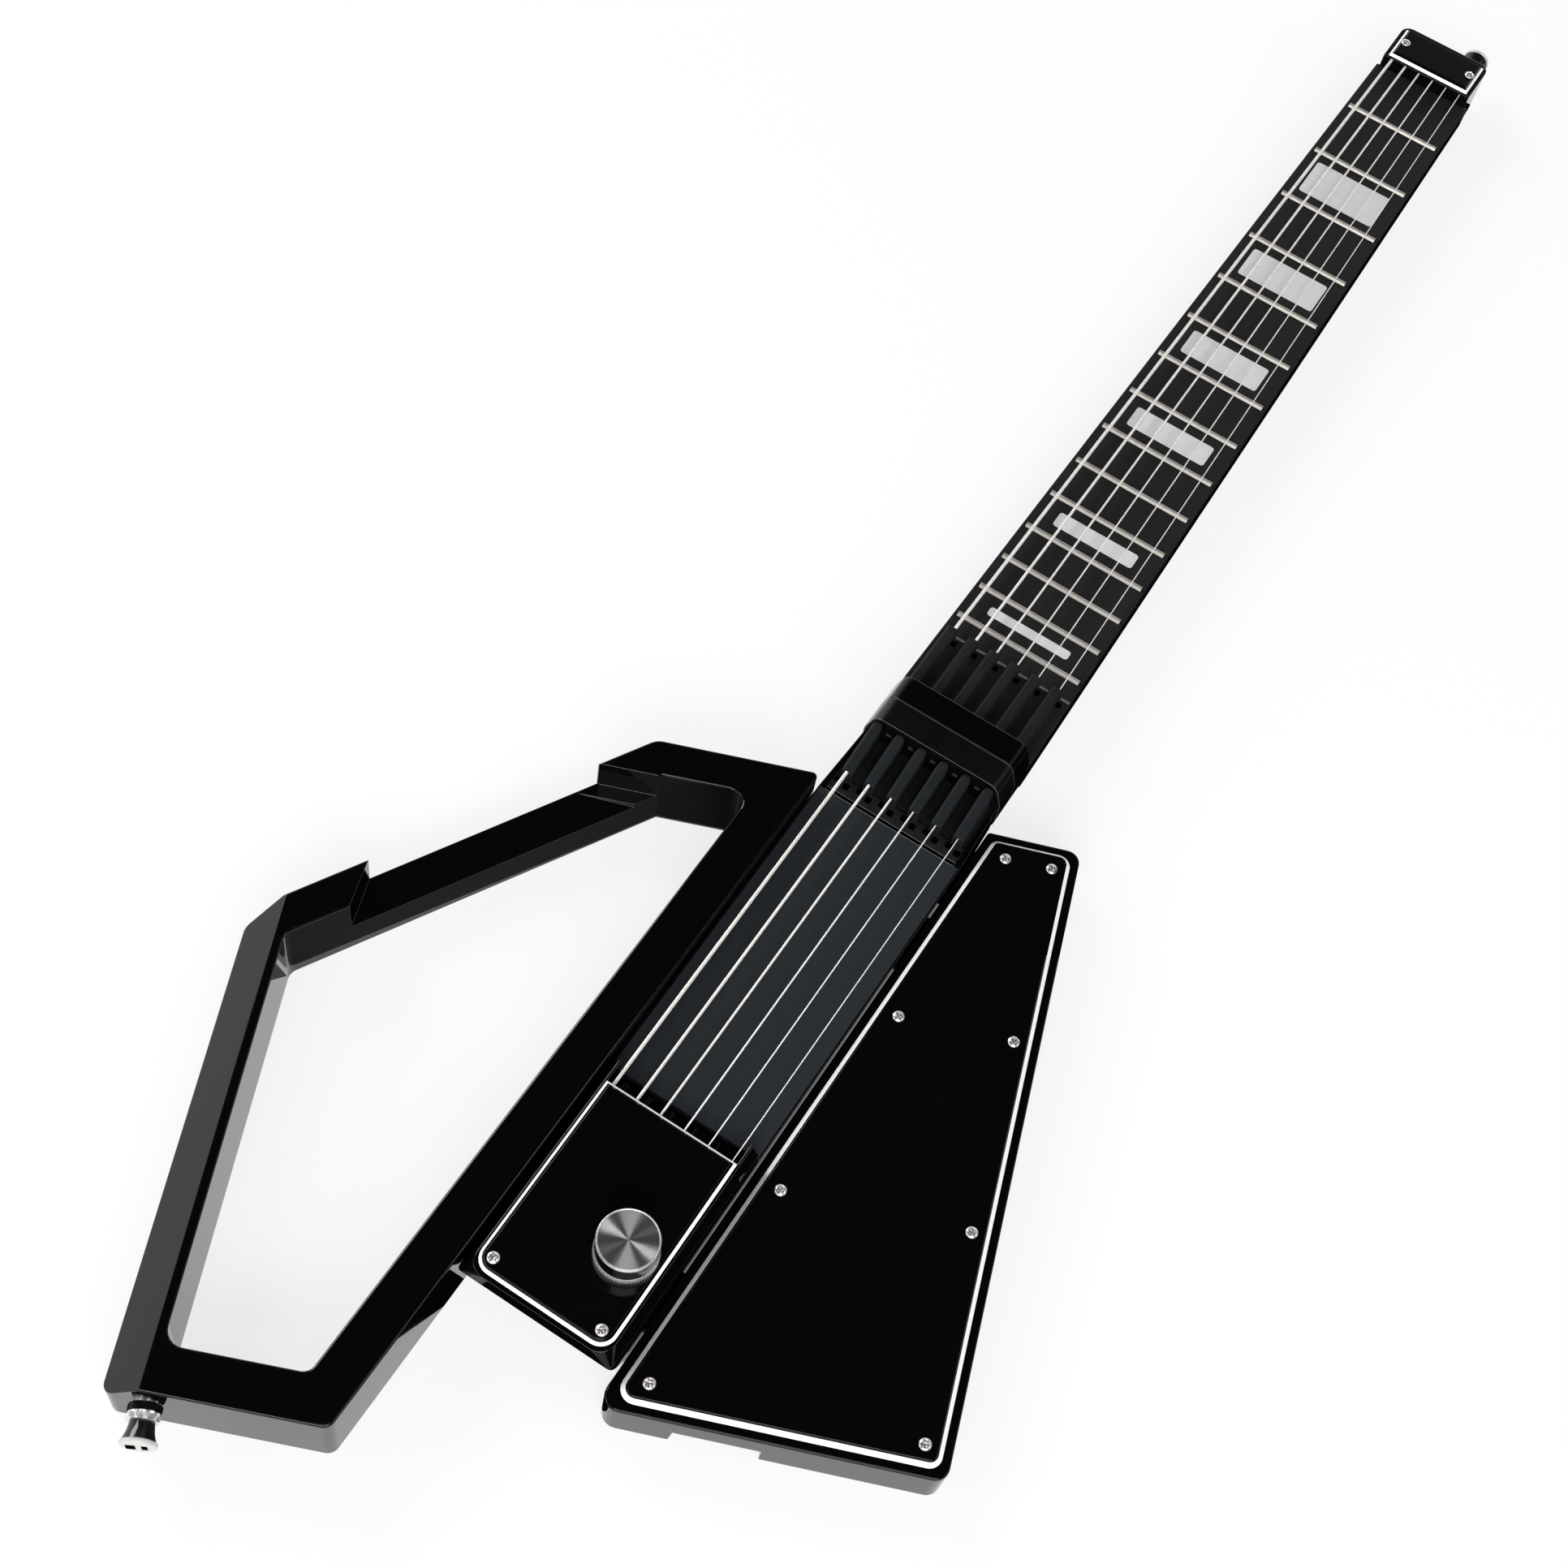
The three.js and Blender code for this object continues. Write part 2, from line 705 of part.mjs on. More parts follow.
function addNeckDamper() {
  const base = roundedBlock(tapered(neckFootY, boardFootY), boardBaseZ, boardTopZ);
  const ribs = stringRadii.map((radius, index) => {
    const x = stringX(index, neckStringSpreadFoot, neckStringFootShift + ribShift);
    const half = ribWidth / 2;
    const profile = [
      [x - half, boardTopZ - overrun / 2, 0], [x + half, boardTopZ - overrun / 2, 0],
      [x + half, ribTopZ, ribRound], [x - half, ribTopZ, ribRound],
    ];
    return alongY(profile, neckFootY, boardFootY);
  });
  add('neck_damper', join(base, ...ribs), 'rubber_grey');
}

function collarProfile() {
  return mirrored([
    [collarFootHalf, 0, collarRound], [collarHalf, collarLowerZ, collarRound],
    [collarHalf, collarShoulderZ, collarRound], [collarTopHalf, collarTopZ, collarRound],
  ]);
}

function addCollar() {
  const plugHole = centredBox(plugHalf, partingY - overrun, neckFootY + overrun, plugLowZ, plugHighZ);
  add('neck_collar', cut(alongY(collarProfile(), partingY, neckFootY), plugHole), 'gloss_black');
  const tongueHole = centredBox(
    tongueHalf + fitGap, bodyStartY - overrun, partingY + overrun, tongueLowZ - fitGap, tongueHighZ + fitGap,
  );
  const ring = alongY(collarProfile(), bodyStartY, partingY - fitGap);
  add('body_collar', cut(ring, tongueHole), 'collar_black');
}

function tabSlots(side) {
  return tabSpots.map((y) => {
    const inner = bodyHalf - tabSlotDepth;
    const half = tabLength / 2 + fitGap;
    const low = side > 0 ? inner : -bodyHalf - overrun;
    const high = side > 0 ? bodyHalf + overrun : -inner;
    return box(low, high, y - half, y + half, tabLowZ - fitGap, tabLowZ + tabHeight + fitGap);
  });
}

function tabs(side, faceX) {
  return tabSpots.map((y) => {
    const tip = side * (bodyHalf - tabSlotDepth + fitGap);
    const root = faceX + side * overrun;
    const half = tabLength / 2;
    return box(Math.min(tip, root), Math.max(tip, root), y - half, y + half, tabLowZ, tabLowZ + tabHeight);
  });
}

function coverBlock(lowZ) {
  const half = cavityHalf + coverLedge;
  return centredBox(half, cavityEndY - coverLedge, cavityStartY + coverLedge, lowZ, coverThickness);
}

function addBodyShell() {
  const plan = [
    [-bodyHalf, bodyEndY, bodyCornerRound], [bodyHalf, bodyEndY, bodyCornerRound],
    [bodyHalf, deckStartY, bodyShoulderRound], [shoulderHalf, bodyStartY, 0],
    [-shoulderHalf, bodyStartY, 0], [-bodyHalf, deckStartY, bodyShoulderRound],
  ];
  const lower = roundedBlock(plan, 0, bodyRimZ, bodyBottomRound);
  const footPlan = rectangle(bodyHalf, bodyEndY, deckEndY, bodyCornerRound);
  const kneePlan = rectangle(casingKneeHalf, bodyEndY, deckEndY, bodyCornerRound);
  const topEndY = controlPlateEndY - casingEndLedge;
  const topPlan = rectangle(casingTopHalf + casingSideLedge, topEndY, deckEndY, casingRound);
  const casing = loft([
    { points: outline(footPlan), z: bodyRimZ - overrun },
    { points: outline(footPlan), z: bodyRimZ },
    { points: outline(kneePlan), z: casingKneeZ },
    { points: outline(topPlan), z: casingTopZ },
  ]);
  const deckPocket = centredBox(deckHalf, deckEndY, deckStartY, deckBaseZ, deckTopZ + overrun);
  const damperPocket = centredBox(
    damperHalf, deckStartY, bodyStartY + overrun, damperFloorZ, deckTopZ + overrun,
  );
  const slot = centredBox(slotHalf, casingStartY, deckEndY + overrun, deckBaseZ, casingTopZ + overrun);
  const slotFront = centredBox(
    bodyHalf + overrun, deckEndY - fitGap, deckEndY + overrun, deckTopZ, casingTopZ,
  );
  const coverPocket = coverBlock(-overrun);
  const cavity = centredBox(cavityHalf, cavityEndY, cavityStartY, 0, cavityRoofZ);
  const controlCavity = centredBox(
    cavityHalf, controlCavityEndY, controlCavityStartY, cavityRoofZ - overrun, casingTopZ + overrun,
  );
  const tongueWay = centredBox(
    tongueHalf + fitGap, cavityStartY - overrun, bodyStartY + overrun,
    tongueLowZ - fitGap, tongueHighZ + fitGap,
  );
  const lift = alongX([
    [bodyEndY - overrun, -overrun, 0], [endLiftStartY - overrun, -overrun, 0],
    [endLiftStartY, 0, 0], [bodyEndY, endLiftZ, 0], [bodyEndY - overrun, endLiftZ, 0],
  ], -bodyHalf - overrun, bodyHalf + overrun);
  const plateTopZ = casingTopZ + plateThickness;
  const holes = [-panelScrewX, panelScrewX].map((x) => screwHole(x, panelScrewY, plateTopZ));
  const shell = cut(
    join(lower, casing), deckPocket, damperPocket, slot, slotFront, coverPocket, cavity,
    controlCavity, tongueWay, lift, ...holes, ...tabSlots(1), ...tabSlots(-1),
  );
  add('body_shell', shell, 'gloss_black');
  add('body_back_cover', coverBlock(0), 'board_black');
  add('strum_deck', centredBox(deckHalf, deckEndY, deckStartY, deckBaseZ, deckTopZ), 'deck_grey');
}

function addBodyDamper() {
  const base = centredBox(damperHalf, deckStartY, bodyStartY, damperFloorZ, damperTopZ);
  const pads = stringRadii.map((radius, index) => {
    const x = stringX(index, bodyStringSpread);
    const profile = [
      [padStartY, damperTopZ - overrun / 2, 0], [bodyStartY, damperTopZ - overrun / 2, 0],
      [bodyStartY, padHighZ, padRound], [padStartY, padLowZ, padRound / 2],
    ];
    return alongX(profile, x - ribWidth / 2, x + ribWidth / 2);
  });
  add('body_damper', join(base, ...pads), 'rubber_grey');
}

function addBodyStrings() {
  stringRadii.forEach((radius, index) => {
    const x = stringX(index, bodyStringSpread);
    const from = new THREE.Vector3(x, padStartY, bodyStringUpperZ);
    const to = new THREE.Vector3(x, casingStartY, bodyStringLowerZ);
    add(`body_string_${index + 1}`, taut(radius, from, to), 'string_steel');
  });
}

function addControls() {
  const plateTopZ = casingTopZ + plateThickness;
  const plan = rectangle(casingTopHalf, controlPlateEndY, controlPlateStartY, casingRound);
  const lowZ = casingTopZ - overrun;
  const shaftHole = rod(shaftRadius + fitGap, lowZ, plateTopZ + overrun, knobX, knobY, turnedSteps);
  const holes = [-panelScrewX, panelScrewX].map((x) => screwHole(x, panelScrewY, plateTopZ));
  add('control_plate', cut(bevelPlate(plan, casingTopZ, plateThickness), shaftHole, ...holes), 'plate_black');
  addScrew('panel_screw_l', -panelScrewX, panelScrewY, plateTopZ);
  addScrew('panel_screw_r', panelScrewX, panelScrewY, plateTopZ);

  const half = sensorSide / 2;
  const sensor = box(
    knobX - half, knobX + half, knobY - half, knobY + half, casingTopZ - sensorHeight, casingTopZ,
  );
  const shaftTopZ = plateTopZ + knobLift + shaftLength;
  const shaft = rod(shaftRadius, lowZ, shaftTopZ, knobX, knobY, turnedSteps);
  add('knob_encoder', join(sensor, shaft), 'sensor_grey');

  const boreRadius = shaftRadius + runningGap;
  const boreDepth = shaftLength + fitGap;
  const profile = [
    [boreRadius, 0], [knobFootRadius, 0], [knobFootRadius, knobFootHeight],
    [knobRadius, knobFootHeight + knobEdge / 2],
    [knobRadius, knobHeight - knobEdge], [knobRadius - knobEdge, knobHeight], [0, knobHeight],
    [0, boreDepth], [boreRadius, boreDepth], [boreRadius, 0],
  ];
  const blank = lathed(profile, knobSteps);
  const teeth = [];
  for (let tooth = 0; tooth < knobTeeth; tooth += 1) {
    const angle = 2 * Math.PI * tooth / knobTeeth;
    const x = knobFootRadius * Math.cos(angle);
    const y = knobFootRadius * Math.sin(angle);
    teeth.push(rod(knobToothDepth, -overrun, knobFootHeight - knobEdge, x, y, toothSteps));
  }
  add('knob', cut(blank, ...teeth).translate([knobX, knobY, plateTopZ + knobLift]), 'knob_aluminium');
}

function addElectronics() {
  const circuit = centredBox(
    circuitHalf, circuitEndY, circuitStartY, coverThickness, coverThickness + circuitThickness,
  );
  add('main_board', circuit, 'circuit_green');
  const corners = rectangle(batteryHalf, batteryEndY, batteryStartY, batteryRound, batteryRound);
  const cell = roundedBlock(corners, coverThickness, coverThickness + batteryHeight, 0, batteryRound / 2);
  add('battery', cell, 'cell_silver');
}

function addRightWing() {
  const block = roundedBlock(rightWingCorners, 0, rightWingTopZ, rightWingEdgeRound, rightWingEdgeRound);
  const pocket = loft([
    { points: outline(rightWingCorners, rightPocketInset), z: rightPocketFloorZ },
    { points: outline(rightWingCorners, rightPocketInset), z: rightWingTopZ + overrun },
  ]);
  const slope = Math.atan2(rightWingFootRise, rightWingFootWidth);
  const notchFoot = notchStart - notchLean;
  const notch = alongY([
    [notchFoot - notchRound * 2, -overrun, 0], [notchStart + notchLength, -overrun, 0],
    [notchStart + notchLength, notchHeight, 0], [notchStart, notchHeight, 0],
    [notchFoot, 0, notchRound], [notchFoot - notchRound * 2, 0, 0],
  ], -overrun, notchDepth)
    .rotate([0, 0, THREE.MathUtils.radToDeg(slope)])
    .translate([rightWingX, rightWingFootY, 0]);
  const topZ = rightWingTopZ + rightPlateThickness;
  const spots = wingScrewSpots();
  const holes = spots.map(({ x, y }) => screwHole(x, y, topZ));
  add('right_wing_body', cut(join(block, ...tabs(1, rightWingX)), pocket, notch, ...holes), 'gloss_black');
  const plateCorners = outlineCorners(rightWingCorners, rightPlateInset, rightPlateRounds);
  const plate = bevelPlate(plateCorners, rightWingTopZ, rightPlateThickness);
  add('right_wing_plate', cut(plate, ...holes), 'plate_black');
  spots.forEach(({ x, y }, index) => addScrew(`wing_screw_${index + 1}`, x, y, topZ));
}

// The two rows of screws, each from its upper end to its lower end
function wingScrewSpots() {
  const innerTop = new THREE.Vector2(rightWingX + innerRowInset, rightWingTopY - innerRowDrop);
  const innerFoot = new THREE.Vector2(rightWingX + innerRowInset, rightWingFootY + innerRowRise);
  const outerTop = new THREE.Vector2(rightTipX - outerRowTopInset, rightTipY - outerRowTopDrop);
  const outerFoot = new THREE.Vector2(rightHipX - outerRowFootInset, rightHipY + outerRowFootRise);
  const rows = [[innerTop, innerFoot], [outerTop, outerFoot]];
  return rows.flatMap(([top, foot]) => screwRowShares.map((share) => top.clone().lerp(foot, share)));
}

// The corners themselves, moved inwards, each with a new radius
function outlineCorners(corners, inset, rounds) {
  const sharp = outline(corners.map(([x, y]) => [x, y, 0]), inset);
  return sharp.map((point, index) => [point.x, point.y, rounds[index]]);
}

function addLeftWing() {
  const block = roundedBlock(leftWingCorners, 0, leftWingTopZ, leftWingEdgeRound, leftWingEdgeRound);
  const opening = loft([
    { points: outline(openingCorners), z: -overrun },
    { points: outline(openingCorners), z: leftWingTopZ - openingEdgeRound },
    { points: outline(openingCorners, -openingEdgeRound / 3), z: leftWingTopZ - openingEdgeRound / 3 },
    { points: outline(openingCorners, -openingEdgeRound), z: leftWingTopZ },
    { points: outline(openingCorners, -openingEdgeRound), z: leftWingTopZ + overrun },
  ]);
  const cuts = [opening, outerBevel(), ...barCuts()];
  add('left_wing_frame', join(cut(block, ...cuts), ...tabs(-1, leftWingX)), 'gloss_black');
}

// Everything above the sloping outer face of the left wing
function outerBevel() {
  const hip = new THREE.Vector2(hipX, hipY);
  const tail = new THREE.Vector2(tailX, tailY);
  const run = tail.clone().sub(hip).normalize();
  const inward = new THREE.Vector2(-run.y, run.x);
  const ridgeStart = hip.addScaledVector(inward, ridgeHipInset);
  const ridge = tail.addScaledVector(inward, ridgeTailInset).sub(ridgeStart);
  const length = ridge.length();
  const tilt = Math.atan2(bevelDrop, bevelWidth);
  const reach = bevelWidth * 3;
  return box(-length, length * 2, -reach, 0, 0, reach)
    .rotate([THREE.MathUtils.radToDeg(tilt), 0, 0])
    .rotate([0, 0, THREE.MathUtils.radToDeg(ridge.angle())])
    .translate([ridgeStart.x, ridgeStart.y, leftWingTopZ]);
}

// The lowered stretch of the upper bar, which falls towards the opening, and the level ledge above it
function barCuts() {
  const hip = new THREE.Vector2(hipX, hipY);
  const shoulder = new THREE.Vector2(shoulderX, shoulderY);
  const upBar = shoulder.clone().sub(hip).normalize();
  const outward = new THREE.Vector2(-upBar.y, upBar.x);
  const barEdge = new THREE.Vector2(shoulderX + openingShoulderIn, shoulderY - openingShoulderDrop);
  const slope = ledgeRise / hip.clone().sub(barEdge).dot(outward);
  const alongTop = new THREE.Vector2(shoulderOut, shoulderDrop).normalize();
  const belowTop = new THREE.Vector2(alongTop.y, -alongTop.x);
  const alongStep = upBar.clone().rotateAround(new THREE.Vector2(), -THREE.MathUtils.degToRad(stepTurn));
  const stepSpot = hip.clone().addScaledVector(upBar, stepFromHip);
  const stretches = [[stepWallInset, ledgeZ, 0], [stepWallInset + ledgeWidth, lowBarZ, slope]];
  return stretches.map(([inset, floorZ, fall]) => {
    const wallSpot = shoulder.clone().addScaledVector(belowTop, inset);
    const corners = [
      stepSpot.clone().addScaledVector(alongStep, -barReach),
      stepSpot.clone().addScaledVector(alongStep, barReach * 2),
      wallSpot.clone().addScaledVector(alongTop, barReach),
      wallSpot.clone().addScaledVector(alongTop, -barReach * 2),
    ];
    const plan = outline(corners.map(({ x, y }) => [x, y, 0]));
    const lean = new THREE.Matrix4().set(
      1, 0, 0, 0,
      0, 1, 0, 0,
      fall * outward.x, fall * outward.y, 1, -fall * barEdge.dot(outward),
      0, 0, 0, 1,
    );
    const block = loft([{ points: plan, z: floorZ }, { points: plan, z: leftWingTopZ * 2 }]);
    return block.transform(lean.elements);
  });
}

function strapButton() {
  const profile = [
    [0, 0], [buttonFlangeRadius, 0], [buttonFlangeRadius, buttonFlangeThickness],
    [buttonRingRadius - buttonEdge, buttonFlangeThickness],
    [buttonRingRadius, buttonFlangeThickness + buttonRingThickness / 2],
    [buttonRingRadius - buttonEdge, buttonFlangeThickness + buttonRingThickness],
    [buttonStemRadius, buttonFlangeThickness + buttonRingThickness],
    [buttonStemRadius, buttonLength - buttonEndThickness - buttonFlare],
    [buttonEndRadius, buttonLength - buttonEndThickness], [buttonEndRadius, buttonLength - buttonEdge],
    [buttonEndRadius - buttonEdge, buttonLength], [0, buttonLength],
  ];
  return lathed(profile, turnedSteps);
}

function addStrapButtons() {
  const upward = strapButton().rotate([-90, 0, 0]);
  add('head_strap_button', upward.translate([headButtonX, headBlockEndY, headButtonZ]), 'screw_chrome');
  const wall = new THREE.Vector2(tailOut, tailDrop);
  const spot = new THREE.Vector2(tailX, tailY).addScaledVector(wall.clone().normalize(), wingButtonInset);
  const heading = THREE.MathUtils.radToDeg(wall.angle());
  const sunk = buttonEndRadius * Math.sin(THREE.MathUtils.degToRad(wingButtonTilt));
  const wallCut = box(-overrun * 2, overrun * 2, 0, overrun, -overrun * 2, overrun * 2);
  const leaning = strapButton().rotate([90, 0, wingButtonTilt]).translate([0, sunk, 0]);
  const turned = cut(leaning, wallCut).rotate([0, 0, heading]);
  add('wing_strap_button', turned.translate([spot.x, spot.y, wingButtonZ]), 'screw_chrome');
}

addNeck();
addFrets();
addNeckStrings();
addNeckDamper();
addCollar();
addBodyShell();
addBodyDamper();
addBodyStrings();
addControls();
addElectronics();
addRightWing();
addLeftWing();
addStrapButtons();

export default group;
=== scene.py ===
import json
import math
import bpy
import bmesh
from mathutils import Matrix, Vector


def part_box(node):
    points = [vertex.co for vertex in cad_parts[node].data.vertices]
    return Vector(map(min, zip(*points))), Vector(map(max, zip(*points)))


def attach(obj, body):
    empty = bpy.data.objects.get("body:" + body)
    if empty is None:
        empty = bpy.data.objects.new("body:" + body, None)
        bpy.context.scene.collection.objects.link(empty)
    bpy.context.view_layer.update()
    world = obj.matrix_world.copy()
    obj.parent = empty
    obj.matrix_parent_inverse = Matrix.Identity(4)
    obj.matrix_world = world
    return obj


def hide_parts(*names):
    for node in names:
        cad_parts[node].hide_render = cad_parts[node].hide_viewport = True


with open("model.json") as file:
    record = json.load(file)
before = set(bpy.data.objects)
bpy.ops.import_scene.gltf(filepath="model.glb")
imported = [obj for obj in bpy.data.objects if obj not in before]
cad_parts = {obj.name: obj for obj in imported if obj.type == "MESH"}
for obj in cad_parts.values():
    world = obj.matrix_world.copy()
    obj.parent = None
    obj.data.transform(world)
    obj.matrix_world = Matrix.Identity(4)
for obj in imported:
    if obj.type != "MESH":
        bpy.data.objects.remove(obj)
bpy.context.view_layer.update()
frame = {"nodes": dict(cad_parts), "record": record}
record = frame["record"]
MM = 0.001

# Camera
CAMERA_PLACE = (0.1152, -0.3221, 0.7438)
CAMERA_TURN = (30.284, -6.723, 32.201)
CAMERA_LENS = 55.05
CAMERA_SENSOR = 36.0

# Floor, world and lamps
FLOOR_HALF = 2.5
FLOOR_COLOUR = (0.93, 0.93, 0.93)
FLOOR_ROUGHNESS = 0.9
FLOOR_SHOWN_SHARE = 0.78
WORLD_COLOUR = (1.0, 1.0, 1.0, 1.0)
HORIZON_LEVEL = 1.0
ZENITH_LEVEL = 0.015
HORIZON_HEIGHT = 0.15
ZENITH_HEIGHT = 0.8
LAMPS = {
    "key": {"place": (1.3, -2.1, 1.9), "size": (2.6, 1.3), "power": 66.0},
    "side": {"place": (-2.4, 0.8, 1.5), "size": (0.9, 1.8), "power": 42.0},
    "fill": {"place": (2.6, 0.6, 1.6), "size": (1.2, 1.2), "power": 12.0},
    "top_box": {"place": (0.41, -0.58, 1.69), "size": (0.9, 0.6), "power": 4.5},
    "front_strip": {"place": (0.2, -1.9, 1.2), "size": (1.0, 0.3), "power": 7.0},
    "left_strip": {"place": (-1.5, -1.3, 1.1), "size": (0.8, 0.3), "power": 7.0},
}
LAMP_TARGET = Vector((0.0, 0.15, 0.0))

# Painted shade: dark and grey cards that only reflections see, standing in for shaded floor and dark
# surroundings: shade and four corners
CARD_ROUGHNESS = 1.0
DARK_SHADE = 0.002
GREY_SHADE = 0.22
SHADE_CARDS = {
    # front and right: painted dark surroundings in reflections; the rest: painted shadow beside the object,
    # as its gloss faces reflect it
    "front_shade_card": (DARK_SHADE, (
        (-0.9, -1.7, 0.002), (0.9, -1.7, 0.002), (0.9, -0.345, 0.002), (-0.9, -0.345, 0.002),
    )),
    "right_shade_card": (DARK_SHADE, (
        (1.2, -0.8, 0.1), (1.2, 1.6, 0.1), (1.2, 1.6, 0.6), (1.2, -0.8, 0.6),
    )),
    "casing_shade_card": (DARK_SHADE, (
        (-0.016, -0.17, 0.001), (0.03, -0.17, 0.001), (0.03, -0.12, 0.001), (-0.033, -0.12, 0.001),
    )),
    "neck_shade_card": (DARK_SHADE, (
        (0.026, 0.085, 0.001), (0.08, 0.085, 0.001), (0.08, 0.582, 0.001), (0.017, 0.582, 0.001),
    )),
    "collar_shade_card": (DARK_SHADE, (
        (0.09, 0.1, 0.001), (0.09, 0.56, 0.001), (0.09, 0.56, 0.06), (0.09, 0.1, 0.06),
    )),
    "bar_shade_card": (GREY_SHADE, (
        (-0.139, -0.068, 0.001), (-0.122, -0.07, 0.001), (-0.058, 0.05, 0.001), (-0.074, 0.056, 0.001),
    )),
    "top_shade_card": (GREY_SHADE, (
        (-0.074, 0.056, 0.001), (-0.068, 0.038, 0.001), (-0.038, 0.045, 0.001), (-0.046, 0.068, 0.001),
    )),
}

# Noise, relief and painted highlights along the edges of the materials
NO_STRETCH = (1, 1, 1)
BOARD_GRAIN = (1, 0.1, 1)
KNOB_GRAIN = (1, 1, 8)
CLOUD_DETAIL = 3.0
CLOUD_LOW = 0.3
CLOUD_HIGH = 0.7
RELIEF_DETAIL = 6.0
RELIEF_STRENGTH = 0.5
WAVE_RADIANS = 20.0
EDGE_SAMPLES = 16
# Lighter colours along hard edges: painted highlights
EDGE_HIGHLIGHT_RADIUS = 0.4 * MM
EDGE_HIGHLIGHT_START = 0.96
EDGE_HIGHLIGHT_END = 0.8
PAINTED_HIGHLIGHT_BLACK = (0.05, 0.05, 0.052)
PAINTED_HIGHLIGHT_COLLAR = (0.18, 0.18, 0.185)
PAINTED_HIGHLIGHT_RUBBER = (0.03, 0.033, 0.036)

# Plates with a white ply: its material's name, and its start and end as shares of the height
GLOSS_BLACK = (0.0012, 0.0012, 0.0014)
PLY_WHITE = (0.95, 0.95, 0.93)
PLY_ROUGHNESS = 0.4
PLATE_LIGHTER = 1.6
PLATE_CLOUDS = 25.0
PLATE_ROUGHNESS = (0.04, 0.08)
PLATE_SPECULAR = 0.3
PLATE_EDGE = 0.3 * MM
PLATES = {
    "control_plate": ("control_plate_plies", 0.1, 0.58),
    "right_wing_plate": ("wing_plate_plies", 0.08, 0.73),
    "head_plate": ("head_plate_plies", 0.1, 0.58),
}

# Strings
STRING_METALLIC = 0.25
STRING_FAMILIES = ("neck_string", "body_string")
WOUND_STRINGS = (1, 2, 3)
WINDING_SPACING = 0.35 * MM
WINDING_DEPTH_SHARE = 0.25
WINDING_STRENGTH = 0.3

# Spun face of the knob
FACE_DARKER = (0.82, 0.83, 0.84)
FACE_LIGHTER = (0.9, 0.9, 0.91)
FACE_CLOUDS = 300.0
FACE_ROUGHNESS = (0.22, 0.28)
FACE_METALLIC = 1.0
FACE_ANISOTROPY = 1.0
FACE_ANISOTROPY_TURN = 0.25
RING_SPACING = 0.12 * MM

